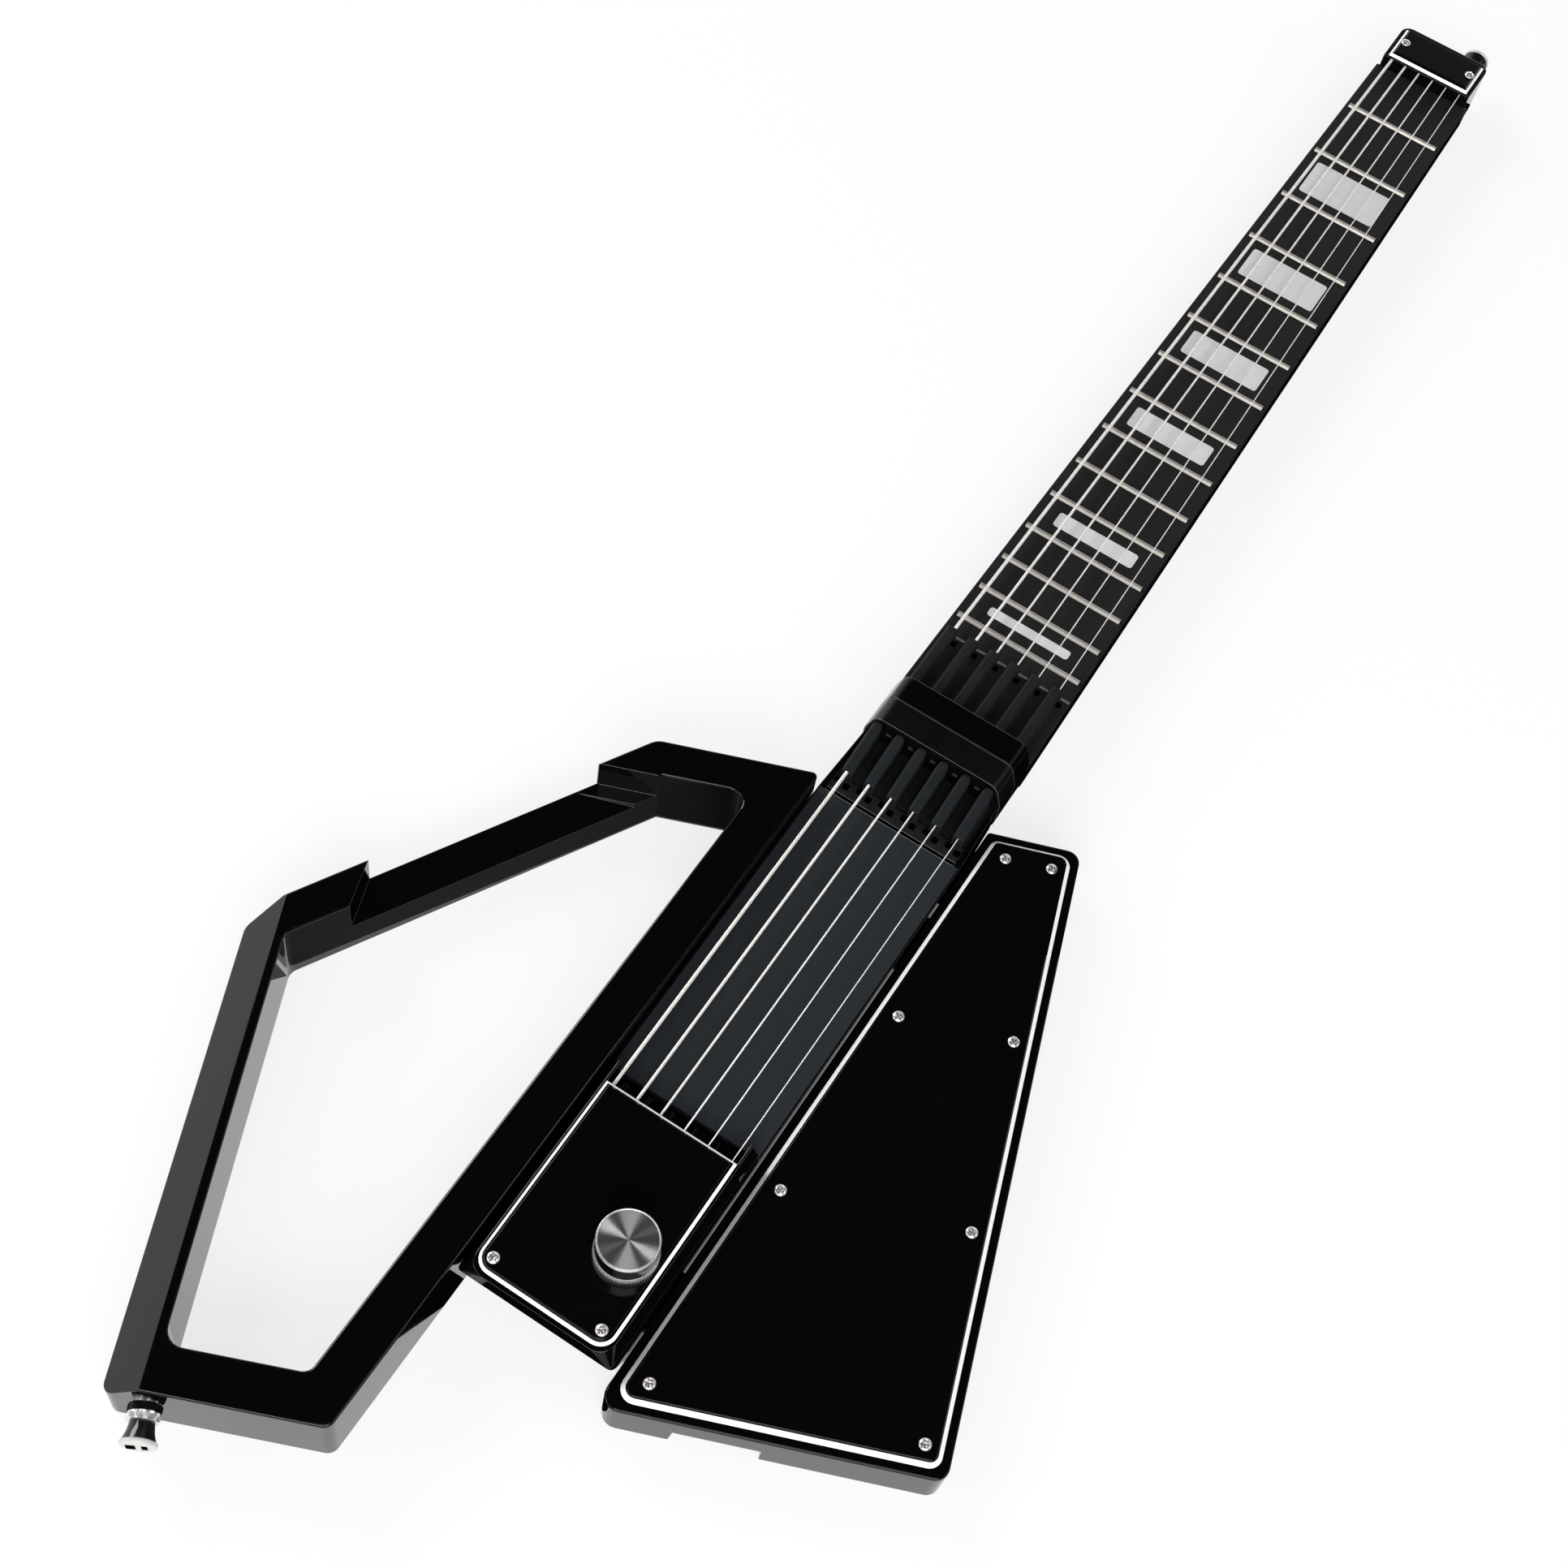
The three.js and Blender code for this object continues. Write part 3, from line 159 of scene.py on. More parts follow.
# Plain materials: colour and roughness drift between two values in soft clouds
LOOKS = {
    "gloss_black": {
        "darker": GLOSS_BLACK, "lighter": (0.0018, 0.0018, 0.002), "roughness": 0.05, "spread": 0.02,
        "clouds": 30.0, "edge": 0.6 * MM, "index": 1.38, "painted_highlight": PAINTED_HIGHLIGHT_BLACK,
    },
    "collar_black": {
        "darker": (0.002, 0.002, 0.0025), "lighter": (0.004, 0.004, 0.005), "roughness": 0.25, "spread": 0.05,
        "clouds": 40.0, "edge": 0.7 * MM, "index": 1.4, "painted_highlight": PAINTED_HIGHLIGHT_COLLAR,
    },
    "board_black": {
        "darker": (0.009, 0.009, 0.01), "lighter": (0.013, 0.013, 0.014), "roughness": 0.5, "spread": 0.08,
        "clouds": 200.0, "relief": 0.05 * MM, "relief_clouds": 1500.0, "stretch": BOARD_GRAIN,
        "specular": 0.2,
    },
    "deck_grey": {
        "darker": (0.014, 0.017, 0.02), "lighter": (0.019, 0.022, 0.026), "roughness": 0.75, "spread": 0.05,
        "clouds": 400.0, "relief": 0.1 * MM, "relief_clouds": 2500.0, "specular": 0.15,
    },
    "rubber_grey": {
        "darker": (0.006, 0.0075, 0.0085), "lighter": (0.011, 0.013, 0.015), "roughness": 0.6, "spread": 0.08,
        "clouds": 150.0, "relief": 0.06 * MM, "relief_clouds": 1500.0, "edge": 0.5 * MM, "specular": 0.15,
        "painted_highlight": PAINTED_HIGHLIGHT_RUBBER,
    },
    # Black rubber of the strap buttons' washers, and painted shade on the wall behind the body pads
    "black_rubber_and_shade": {
        "darker": (0.001, 0.001, 0.0012), "lighter": (0.002, 0.002, 0.0025), "roughness": 0.6, "spread": 0.1,
        "clouds": 300.0, "specular": 0.1,
    },
    # A lighter copy of the damper rubber: painted highlights on the seam's edges and the neck's lips
    "rubber_painted_highlight": {
        "darker": (0.1, 0.105, 0.11), "lighter": (0.16, 0.165, 0.17), "roughness": 0.45, "spread": 0.1,
        "clouds": 600.0,
    },
    "clip_grey": {
        "darker": (0.04, 0.044, 0.048), "lighter": (0.07, 0.075, 0.08), "roughness": 0.4, "spread": 0.1,
        "clouds": 600.0,
    },
    "fret_silver": {
        "darker": (0.5, 0.475, 0.43), "lighter": (0.58, 0.55, 0.5), "roughness": 0.32, "spread": 0.04,
        "clouds": 60.0, "metallic": 0.6,
    },
    "string_steel": {
        "darker": (0.75, 0.75, 0.74), "lighter": (0.9, 0.9, 0.89), "roughness": 0.3, "spread": 0.06,
        "clouds": 500.0, "metallic": STRING_METALLIC,
    },
    "string_wound": {
        "darker": (0.72, 0.7, 0.66), "lighter": (0.9, 0.88, 0.84), "roughness": 0.3, "spread": 0.06,
        "clouds": 500.0, "metallic": STRING_METALLIC,
    },
    "screw_chrome": {
        "darker": (0.7, 0.67, 0.65), "lighter": (0.82, 0.79, 0.77), "roughness": 0.24, "spread": 0.05,
        "clouds": 400.0, "metallic": 0.9, "edge": 0.1 * MM,
    },
    # Far darker than the ring and face of the same aluminium: painted shade on the knob's side
    "knob_aluminium": {
        "darker": (0.16, 0.16, 0.17), "lighter": (0.24, 0.24, 0.25), "roughness": 0.2, "spread": 0.04,
        "clouds": 200.0, "metallic": 1.0, "stretch": KNOB_GRAIN,
    },
    "knob_ring": {
        "darker": (0.7, 0.7, 0.73), "lighter": (0.9, 0.9, 0.93), "roughness": 0.3, "spread": 0.05,
        "clouds": 900.0, "metallic": 0.8,
    },
    # A chrome stem drawn near black: a painted dark reflection
    "button_dark_reflection": {
        "darker": (0.004, 0.004, 0.005), "lighter": (0.012, 0.012, 0.014), "roughness": 0.12, "spread": 0.04,
        "clouds": 300.0,
    },
    "button_chrome": {
        "darker": (0.7, 0.69, 0.68), "lighter": (0.85, 0.84, 0.83), "roughness": 0.28, "spread": 0.06,
        "clouds": 300.0, "metallic": 0.55,
    },
    "button_cap": {
        "darker": (0.5, 0.49, 0.475), "lighter": (0.58, 0.57, 0.555), "roughness": 0.35, "spread": 0.08,
        "clouds": 300.0, "metallic": 0.1,
    },
    # Near black: painted shade in notches, slots and the seam
    "hollow_black": {
        "darker": (0.0003, 0.0003, 0.0003), "lighter": (0.0008, 0.0008, 0.0009), "roughness": 0.9,
        "spread": 0.05, "clouds": 300.0, "specular": 0.0,
    },
    "circuit_green": {
        "darker": (0.01, 0.06, 0.02), "lighter": (0.02, 0.09, 0.03), "roughness": 0.5, "spread": 0.1,
        "clouds": 200.0,
    },
    "cell_silver": {
        "darker": (0.3, 0.3, 0.31), "lighter": (0.4, 0.4, 0.41), "roughness": 0.5, "spread": 0.1,
        "clouds": 50.0,
    },
    "sensor_grey": {
        "darker": (0.1, 0.1, 0.1), "lighter": (0.14, 0.14, 0.14), "roughness": 0.5, "spread": 0.1,
        "clouds": 100.0,
    },
    "inlay_pearl": {
        "darker": (0.58, 0.59, 0.585), "lighter": (0.64, 0.65, 0.645), "roughness": 0.35, "spread": 0.08,
        "clouds": 300.0,
    },
}

# Smooth shading
SMOOTH_ANGLE = math.radians(40)
NORMAL_WEIGHT = 100

# Fretboard inlays
SCALE_LENGTH = 648 * MM
SEMITONES = 12
INLAY_SPACES = (3, 5, 7, 9, 12, 15)
INLAY_HALF = 17.3 * MM
INLAY_MARGIN = 6.0 * MM
INLAY_CORNER = 1.2 * MM
INLAY_PROUD = 0.05 * MM
INLAY_DEPTH = 0.6 * MM
CORNER_STEPS = 4

# Screw heads
SCREW_RINGS = 14
SCREW_SPOKES = 48
SCREW_DOME = 0.9 * MM
CROSS_HALF_WIDTH = 0.4 * MM
CROSS_REACH = 1.4 * MM
CROSS_DEPTH = 0.8 * MM
CROSS_TAPER = 0.6
SCREW_SHANK = 1.2 * MM
SCREW_SHANK_LENGTH = 8.0 * MM
TURN_BY_NAME_LENGTH = 37
TURN_BY_LAST_LETTER = 23

# Ridges of turned pieces: how many and how deep
RIM_SHARE = 0.95
NO_RIDGES = (0, 0.0)
KNOB_TEETH = (80, 0.55 * MM)
BUTTON_LOBES = (10, 1.3 * MM)
WASHER_LOBES = (6, 0.7 * MM)

# Knob, from its foot up: radius and height in millimetres
KNOB_SPOKES = 240
KNOB_FOOT_SPOKES = 480
KNOB_FOOT = ((0.0, 0.0), (10.3, 0.0), (10.6, 0.3), (10.6, 2.6), (10.2, 3.0), (0.0, 3.0))
KNOB_SIDE = ((0.0, 2.6), (9.8, 2.6), (9.8, 3.4), (10.15, 3.6), (10.15, 10.6), (0.0, 10.6))
KNOB_RIM = ((0.0, 10.5), (10.2, 10.5), (10.2, 10.9), (10.0, 11.25), (9.8, 11.3), (9.6, 11.1), (0.0, 11.1))
KNOB_FACE = ((0.0, 10.9), (9.4, 10.9), (9.4, 11.2), (0.0, 11.2))

# Strap buttons, from the foot out: radius and height in millimetres
BUTTON_SPOKES = 96
BUTTON_LENGTH = 14.0 * MM
BUTTON_FOOT = ((0.0, 0.0), (4.2, 0.0), (4.6, 0.3), (4.6, 1.2), (4.2, 1.5), (0.0, 1.5))
BUTTON_WASHER = ((0.0, 1.5), (4.9, 1.5), (5.3, 1.9), (5.3, 3.6), (4.9, 4.0), (0.0, 4.0))
BUTTON_RING = ((0.0, 4.0), (4.8, 4.0), (5.2, 4.5), (5.2, 6.0), (4.8, 6.5), (0.0, 6.5))
BUTTON_STEM = ((0.0, 6.5), (3.8, 6.5), (4.0, 8.0), (4.4, 10.0), (5.2, 12.2), (5.4, 12.8), (0.0, 12.8))
BUTTON_CAP = ((0.0, 12.5), (5.5, 12.5), (5.8, 12.8), (5.8, 13.4), (5.5, 13.9), (5.2, 14.0), (0.0, 14.0))
BUTTON_SLOTS = (((-3.0, 0.7), (1.4, 3.7)), ((-2.8, -2.9), (1.2, -1.0)))
SLOT_CORNER = 0.3 * MM
SLOT_PROUD = 0.02 * MM
SLOT_DEPTH = 0.5 * MM

# Damper under the body strings
STRING_COUNT = 6
PAD_HALF = 2.15 * MM
PAD_SINK = 0.5 * MM
PAD_STATIONS = (
    # distance from the lower end, share of the width, height above the slab
    (0.0, 0.92, 6.0), (0.4, 1.0, 6.3), (6.0, 1.0, 7.8), (12.0, 1.0, 9.4), (17.0, 1.0, 10.8),
    (19.0, 0.95, 11.3), (20.2, 0.82, 11.4), (20.9, 0.62, 11.2), (21.3, 0.35, 10.7),
)
PAD_ROUND_SHARE = 0.55
PAD_ARC_STEPS = 5
SLAB_STEP = 0.8 * MM
STEP_PLACE = 8.4 * MM
# A thin black wall behind the pads, as painted shade
SHADE_WALL = 0.25 * MM
SHADE_WALL_HALF = 24.0 * MM
SHADE_WALL_RISE = 10.6 * MM
CLIP_HALF = 1.0 * MM
CLIP_REACH = 0.9 * MM
CLIP_LOW = 5.6 * MM
CLIP_HIGH = 6.1 * MM

# Marks on both dampers: places are in millimetres from each string or rib
# The notches are black patches of painted shade
NOTCHES = {
    "left": ((-3.3, -2.7), (-0.7, -0.2)),
    "right": ((0.7, -3.9), (3.2, -1.3)),
}
NOTCH_CORNER = 0.4 * MM
MARK_PROUD = 0.04 * MM
MARK_DEPTH = 0.4 * MM
SEAM_WIDTH = 1.7 * MM
# Width of the painted highlight on each side of the seam
SEAM_HIGHLIGHT_WIDTH = 0.22 * MM
LIP_PLACE = ((0.35, -1.5), (4.1, -0.7))
LIP_RISE = 0.5 * MM
RIB_NOTCH = ((0.0, -5.2), (2.0, -2.8))
RIB_SPACING = 8.96 * MM
FIRST_RIB_EDGE = -21.5 * MM


# Camera and stage

def set_camera():
    data = bpy.data.cameras.new("camera")
    data.lens = CAMERA_LENS
    data.sensor_width = CAMERA_SENSOR
    camera = bpy.data.objects.new("camera", data)
    camera.location = CAMERA_PLACE
    camera.rotation_euler = [math.radians(angle) for angle in CAMERA_TURN]
    bpy.context.scene.collection.objects.link(camera)
    bpy.context.scene.camera = camera
    bpy.context.scene.view_settings.view_transform = "Standard"


def add_sheet(name, corners, colour, roughness):
    """A flat face of a material without highlights."""
    mesh = bpy.data.meshes.new(name)
    mesh.from_pydata(corners, [], [tuple(range(len(corners)))])
    sheet = bpy.data.objects.new(name, mesh)
    bpy.context.scene.collection.objects.link(sheet)
    material, tree, shader = new_material(name)
    shader.inputs["Base Color"].default_value = (*colour, 1.0)
    shader.inputs["Roughness"].default_value = roughness
    shader.inputs["Specular IOR Level"].default_value = 0.0
    mesh.materials.append(material)
    return sheet, tree, shader


def seen_directly(tree):
    """One where a camera, glossy or transmission ray meets the surface."""
    path = tree.nodes.new("ShaderNodeLightPath")
    seen = calculate(tree, "MAXIMUM", path.outputs["Is Camera Ray"], path.outputs["Is Glossy Ray"])
    return calculate(tree, "MAXIMUM", seen, path.outputs["Is Transmission Ray"])


def set_floor():
    """A pale floor that shows itself whiter to the camera than it is lit."""
    half = FLOOR_HALF
    corners = ((-half, -half, 0), (half, -half, 0), (half, half, 0), (-half, half, 0))
    floor, tree, lit = add_sheet("floor", corners, FLOOR_COLOUR, FLOOR_ROUGHNESS)
    shown = tree.nodes.new("ShaderNodeEmission")
    blend = tree.nodes.new("ShaderNodeMixShader")
    share = calculate(tree, "MULTIPLY", seen_directly(tree), FLOOR_SHOWN_SHARE)
    tree.links.new(share, blend.inputs["Fac"])
    tree.links.new(lit.outputs["BSDF"], blend.inputs[1])
    tree.links.new(shown.outputs["Emission"], blend.inputs[2])
    tree.links.new(blend.outputs["Shader"], tree.nodes["Material Output"].inputs["Surface"])


def set_world():
    """A white horizon under a dark ceiling."""
    world = bpy.data.worlds.new("world")
    world.use_nodes = True
    tree = world.node_tree
    background = tree.nodes["Background"]
    place = tree.nodes.new("ShaderNodeTexCoord")
    split = tree.nodes.new("ShaderNodeSeparateXYZ")
    level = tree.nodes.new("ShaderNodeMapRange")
    level.interpolation_type = "SMOOTHSTEP"
    level.inputs["From Min"].default_value = HORIZON_HEIGHT
    level.inputs["From Max"].default_value = ZENITH_HEIGHT
    level.inputs["To Min"].default_value = HORIZON_LEVEL
    level.inputs["To Max"].default_value = ZENITH_LEVEL
    tree.links.new(place.outputs["Generated"], split.inputs["Vector"])
    tree.links.new(split.outputs["Z"], level.inputs["Value"])
    tree.links.new(level.outputs["Result"], background.inputs["Strength"])
    background.inputs["Color"].default_value = WORLD_COLOUR
    bpy.context.scene.world = world


def add_shade_card(name, shade, corners):
    """A card out of view that only reflections see: painted shade in what gloss faces reflect."""
    card = add_sheet(name, corners, (shade, shade, shade), CARD_ROUGHNESS)[0]
    card.visible_camera = False
    card.visible_diffuse = False
    card.visible_shadow = False
    card.visible_transmission = False


def add_lamp(name, place, size, power):
    data = bpy.data.lights.new(name, "AREA")
    data.shape = "RECTANGLE"
    data.size, data.size_y = size
    data.energy = power
    lamp = bpy.data.objects.new(name, data)
    lamp.location = place
    lamp.rotation_euler = (LAMP_TARGET - Vector(place)).to_track_quat("-Z", "Y").to_euler()
    bpy.context.scene.collection.objects.link(lamp)


# Material tools

def new_material(name):
    material = bpy.data.materials.new(name)
    material.use_nodes = True
    tree = material.node_tree
    return material, tree, tree.nodes["Principled BSDF"]


def noise(tree, scale, detail=CLOUD_DETAIL, stretch=NO_STRETCH):
    place = tree.nodes.new("ShaderNodeTexCoord")
    spread = tree.nodes.new("ShaderNodeMapping")
    spread.inputs["Scale"].default_value = stretch
    texture = tree.nodes.new("ShaderNodeTexNoise")
    texture.inputs["Scale"].default_value = scale
    texture.inputs["Detail"].default_value = detail
    tree.links.new(place.outputs["Object"], spread.inputs["Vector"])
    tree.links.new(spread.outputs["Vector"], texture.inputs["Vector"])
    return texture.outputs["Fac"]


def ramp(tree, value, low, high, start=CLOUD_LOW, end=CLOUD_HIGH):
    node = tree.nodes.new("ShaderNodeMapRange")
    node.inputs["From Min"].default_value = start
    node.inputs["From Max"].default_value = end
    node.inputs["To Min"].default_value = low
    node.inputs["To Max"].default_value = high
    tree.links.new(value, node.inputs["Value"])
    return node.outputs["Result"]


def calculate(tree, operation, first, second):
    node = tree.nodes.new("ShaderNodeMath")
    node.operation = operation
    for socket, value in zip(node.inputs, (first, second)):
        if isinstance(value, (int, float)):
            socket.default_value = value
        else:
            tree.links.new(value, socket)
    return node.outputs[0]


def mix_colour(tree, factor, first, second):
    node = tree.nodes.new("ShaderNodeMix")
    node.data_type = "RGBA"
    for name, value in (("A", first), ("B", second)):
        socket = [s for s in node.inputs if s.name == name and s.type == "RGBA"][0]
        if isinstance(value, tuple):
            socket.default_value = (*value, 1.0)
        else:
            tree.links.new(value, socket)
    tree.links.new(factor, node.inputs["Factor"])
    return [s for s in node.outputs if s.type == "RGBA"][0]


def add_relief(tree, shader, height, distance, strength=RELIEF_STRENGTH):
    node = tree.nodes.new("ShaderNodeBump")
    node.inputs["Strength"].default_value = strength
    node.inputs["Distance"].default_value = distance
    tree.links.new(height, node.inputs["Height"])
    tree.links.new(node.outputs["Normal"], shader.inputs["Normal"])
    return node


def bent_normal(tree, radius):
    """The surface's direction, bent round near hard edges."""
    node = tree.nodes.new("ShaderNodeBevel")
    node.samples = EDGE_SAMPLES
    node.inputs["Radius"].default_value = radius
    return node.outputs["Normal"]


def round_edges(tree, shader, radius, relief=None):
    """Catches light on hard edges as a rounded or moulded edge does."""
    target = relief.inputs["Normal"] if relief else shader.inputs["Normal"]
    tree.links.new(bent_normal(tree, radius), target)


def painted_highlight_share(tree):
    """One along hard edges, where a highlight is painted, and zero elsewhere."""
    face = tree.nodes.new("ShaderNodeNewGeometry")
    agree = tree.nodes.new("ShaderNodeVectorMath")
    agree.operation = "DOT_PRODUCT"
    tree.links.new(bent_normal(tree, EDGE_HIGHLIGHT_RADIUS), agree.inputs[0])
    tree.links.new(face.outputs["True Normal"], agree.inputs[1])
    return ramp(tree, agree.outputs["Value"], 0.0, 1.0, EDGE_HIGHLIGHT_START, EDGE_HIGHLIGHT_END)


def wave_scale(spacing):
    """The scale that gives a wave texture lines of this spacing."""
    return 2 * math.pi / (WAVE_RADIANS * spacing)


# Materials

def varied(name, darker, lighter, roughness, spread, clouds, metallic=0.0, relief=0.0, relief_clouds=0.0,
           edge=0.0, stretch=NO_STRETCH, index=1.5, specular=0.5, painted_highlight=None):
    material, tree, shader = new_material(name)
    shader.inputs["IOR"].default_value = index
    shader.inputs["Specular IOR Level"].default_value = specular
    cloud = noise(tree, clouds, stretch=stretch)
    colour = mix_colour(tree, cloud, darker, lighter)
    # A lighter colour along hard edges: a painted highlight
    if painted_highlight:
        colour = mix_colour(tree, painted_highlight_share(tree), colour, painted_highlight)
    tree.links.new(colour, shader.inputs["Base Color"])
    tree.links.new(ramp(tree, cloud, roughness - spread, roughness + spread), shader.inputs["Roughness"])
    shader.inputs["Metallic"].default_value = metallic
    bumps = None
    if relief:
        bumps = add_relief(tree, shader, noise(tree, relief_clouds, RELIEF_DETAIL, stretch), relief)
    if edge:
        round_edges(tree, shader, edge, bumps)
    return material


def plied(name, node, ply_start, ply_end):
    """A gloss black plate whose bevel shows a white middle ply, by height."""
    material, tree, shader = new_material(name)
    shader.inputs["Specular IOR Level"].default_value = PLATE_SPECULAR
    low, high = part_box(node)
    height = high.z - low.z
    place = tree.nodes.new("ShaderNodeTexCoord")
    split = tree.nodes.new("ShaderNodeSeparateXYZ")
    tree.links.new(place.outputs["Object"], split.inputs["Vector"])
    above = calculate(tree, "GREATER_THAN", split.outputs["Z"], low.z + height * ply_start)
    below = calculate(tree, "LESS_THAN", split.outputs["Z"], low.z + height * ply_end)
    inside = calculate(tree, "MULTIPLY", above, below)
    cloud = noise(tree, PLATE_CLOUDS)
    lighter = tuple(PLATE_LIGHTER * value for value in GLOSS_BLACK)
    black = mix_colour(tree, cloud, GLOSS_BLACK, lighter)
    tree.links.new(mix_colour(tree, inside, black, PLY_WHITE), shader.inputs["Base Color"])
    gloss = ramp(tree, cloud, *PLATE_ROUGHNESS)
    matt = ramp(tree, inside, 0.0, PLY_ROUGHNESS, 0.0, 1.0)
    tree.links.new(calculate(tree, "MAXIMUM", gloss, matt), shader.inputs["Roughness"])
    round_edges(tree, shader, PLATE_EDGE)
    return material


def add_winding(material):
    """The turns of a wound string, as relief along it."""
    tree = material.node_tree
    place = tree.nodes.new("ShaderNodeTexCoord")
    turns = tree.nodes.new("ShaderNodeTexWave")
    turns.bands_direction = "Y"
    turns.inputs["Scale"].default_value = wave_scale(WINDING_SPACING)
    tree.links.new(place.outputs["Object"], turns.inputs["Vector"])
    depth = WINDING_SPACING * WINDING_DEPTH_SHARE
    add_relief(tree, tree.nodes["Principled BSDF"], turns.outputs["Fac"], depth, WINDING_STRENGTH)


def spun_face(name, centre):
    """A face turned on a lathe: fine rings, and light in sectors."""
    material, tree, shader = new_material(name)
    place = tree.nodes.new("ShaderNodeTexCoord")
    shift = tree.nodes.new("ShaderNodeMapping")
    shift.inputs["Location"].default_value = (-centre.x, -centre.y, 0)
    tree.links.new(place.outputs["Object"], shift.inputs["Vector"])
    rings = tree.nodes.new("ShaderNodeTexWave")
    rings.wave_type = "RINGS"
    rings.rings_direction = "Z"
    rings.inputs["Scale"].default_value = wave_scale(RING_SPACING)
    tree.links.new(shift.outputs["Vector"], rings.inputs["Vector"])
    colour = mix_colour(tree, noise(tree, FACE_CLOUDS), FACE_DARKER, FACE_LIGHTER)
    tree.links.new(colour, shader.inputs["Base Color"])
    tree.links.new(ramp(tree, rings.outputs["Fac"], *FACE_ROUGHNESS, 0.0, 1.0), shader.inputs["Roughness"])
    shader.inputs["Metallic"].default_value = FACE_METALLIC
    shader.inputs["Anisotropic"].default_value = FACE_ANISOTROPY
    shader.inputs["Anisotropic Rotation"].default_value = FACE_ANISOTROPY_TURN
    around = tree.nodes.new("ShaderNodeTangent")
    around.direction_type = "RADIAL"
    around.axis = "Z"
    tree.links.new(around.outputs["Tangent"], shader.inputs["Tangent"])
    return material


def knob_centre():
    low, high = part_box("knob")
    return (low + high) / 2


def make_materials():
    materials = {name: varied(name, **look) for name, look in LOOKS.items()}
    add_winding(materials["string_wound"])
    materials["knob_face"] = spun_face("knob_face", knob_centre())
    return materials


def make_node_materials():
    """Materials of single nodes that differ from the rest of their slot."""
    materials = {node: plied(name, node, start, end) for node, (name, start, end) in PLATES.items()}
    for family in STRING_FAMILIES:
        for number in WOUND_STRINGS:
            materials[f"{family}_{number}"] = MATERIALS["string_wound"]
    return materials


MATERIALS = make_materials()
NODE_MATERIALS = make_node_materials()


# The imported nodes

def smooth(thing):
    """Rounds the look of curved faces and keeps flat faces flat."""
    for face in thing.data.polygons:
        face.use_smooth = True
    mesh = bmesh.new()
    mesh.from_mesh(thing.data)
    sharp = {edge.index for edge in mesh.edges if len(edge.link_faces) == 2
             and edge.calc_face_angle() > SMOOTH_ANGLE}
    mesh.free()
    for edge in thing.data.edges:
        edge.use_edge_sharp = edge.index in sharp
    modifier = thing.modifiers.new("weighted", "WEIGHTED_NORMAL")
    modifier.keep_sharp = True
    modifier.weight = NORMAL_WEIGHT


def paint_nodes():
    slots = {part["node"]: part["material_slot"] for part in record["subparts"]}
    for name, thing in frame["nodes"].items():
        thing.data.materials.clear()
        thing.data.materials.append(NODE_MATERIALS.get(name) or MATERIALS[slots[name]])
        smooth(thing)


# Piece tools

def add_piece(name, mesh, material, body, nodes=()):
    data = bpy.data.meshes.new(name)
    mesh.to_mesh(data)
    mesh.free()
    piece = bpy.data.objects.new(name, data)
    bpy.context.scene.collection.objects.link(piece)
    data.materials.append(MATERIALS[material])
    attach(piece, body)
    if nodes:
        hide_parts(*nodes)
    return piece


def move(mesh, matrix):
    bmesh.ops.transform(mesh, matrix=matrix, verts=mesh.verts)
    return mesh


def in_metres(place, start=(0.0, 0.0)):
    """A place given in millimetres from a start."""
    return tuple(origin + value * MM for origin, value in zip(start, place))


def rounded_rectangle(low, high, radius):
    centres = (
        (high[0] - radius, high[1] - radius, 0), (low[0] + radius, high[1] - radius, 90),
        (low[0] + radius, low[1] + radius, 180), (high[0] - radius, low[1] + radius, 270),
    )
    points = []
    for x, y, start in centres:
        for step in range(CORNER_STEPS + 1):
            angle = math.radians(start + 90 * step / CORNER_STEPS)
            points.append((x + radius * math.cos(angle), y + radius * math.sin(angle)))
    return points


def box_mesh(low, high, low_z, high_z, corner=0.0):
    """An upright box with rounded corners."""
    points = rounded_rectangle(low, high, corner)
    mesh = bmesh.new()
    lower = [mesh.verts.new((x, y, low_z)) for x, y in points]
    upper = [mesh.verts.new((x, y, high_z)) for x, y in points]
    mesh.faces.new(list(reversed(lower)))
    mesh.faces.new(upper)
    for index in range(len(points)):
        following = (index + 1) % len(points)
        mesh.faces.new((lower[index], lower[following], upper[following], upper[index]))
    return mesh


# Inlays, set flush in the fretboard

def fret_distance(number):
    """How far a fret lies from the nut by the equal-tempered rule."""
    return SCALE_LENGTH * (1 - 2 ** (-number / SEMITONES))


def add_inlays():
    board_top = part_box("fretboard")[1].z
    first_low, first_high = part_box("fret_01")
    nut = (first_low.y + first_high.y) / 2 + fret_distance(1)
    for fret in INLAY_SPACES:
        low = (-INLAY_HALF, nut - fret_distance(fret) + INLAY_MARGIN)
        high = (INLAY_HALF, nut - fret_distance(fret - 1) - INLAY_MARGIN)
        mesh = box_mesh(low, high, board_top - INLAY_DEPTH, board_top + INLAY_PROUD, INLAY_CORNER)
        add_piece(f"inlay_{fret:02d}", mesh, "inlay_pearl", "neck")


# Screws with a cross in a domed head

def cross_depth(x, y):
    """How deep the cross is at a place on the head: deepest in the middle."""
    across = min(abs(x), abs(y))
    along = max(abs(x), abs(y))
    inside = along < CROSS_REACH and across < CROSS_HALF_WIDTH
    return CROSS_DEPTH * (1 - along / CROSS_REACH * CROSS_TAPER) if inside else 0


def screw_ring(mesh, centre, reach, height, crossed):
    ring = []
    for spoke in range(SCREW_SPOKES):
        angle = 2 * math.pi * spoke / SCREW_SPOKES
        x, y = reach * math.cos(angle), reach * math.sin(angle)
        depth = cross_depth(x, y) if crossed else 0
        ring.append(mesh.verts.new((centre.x + x, centre.y + y, height - depth)))
    return ring


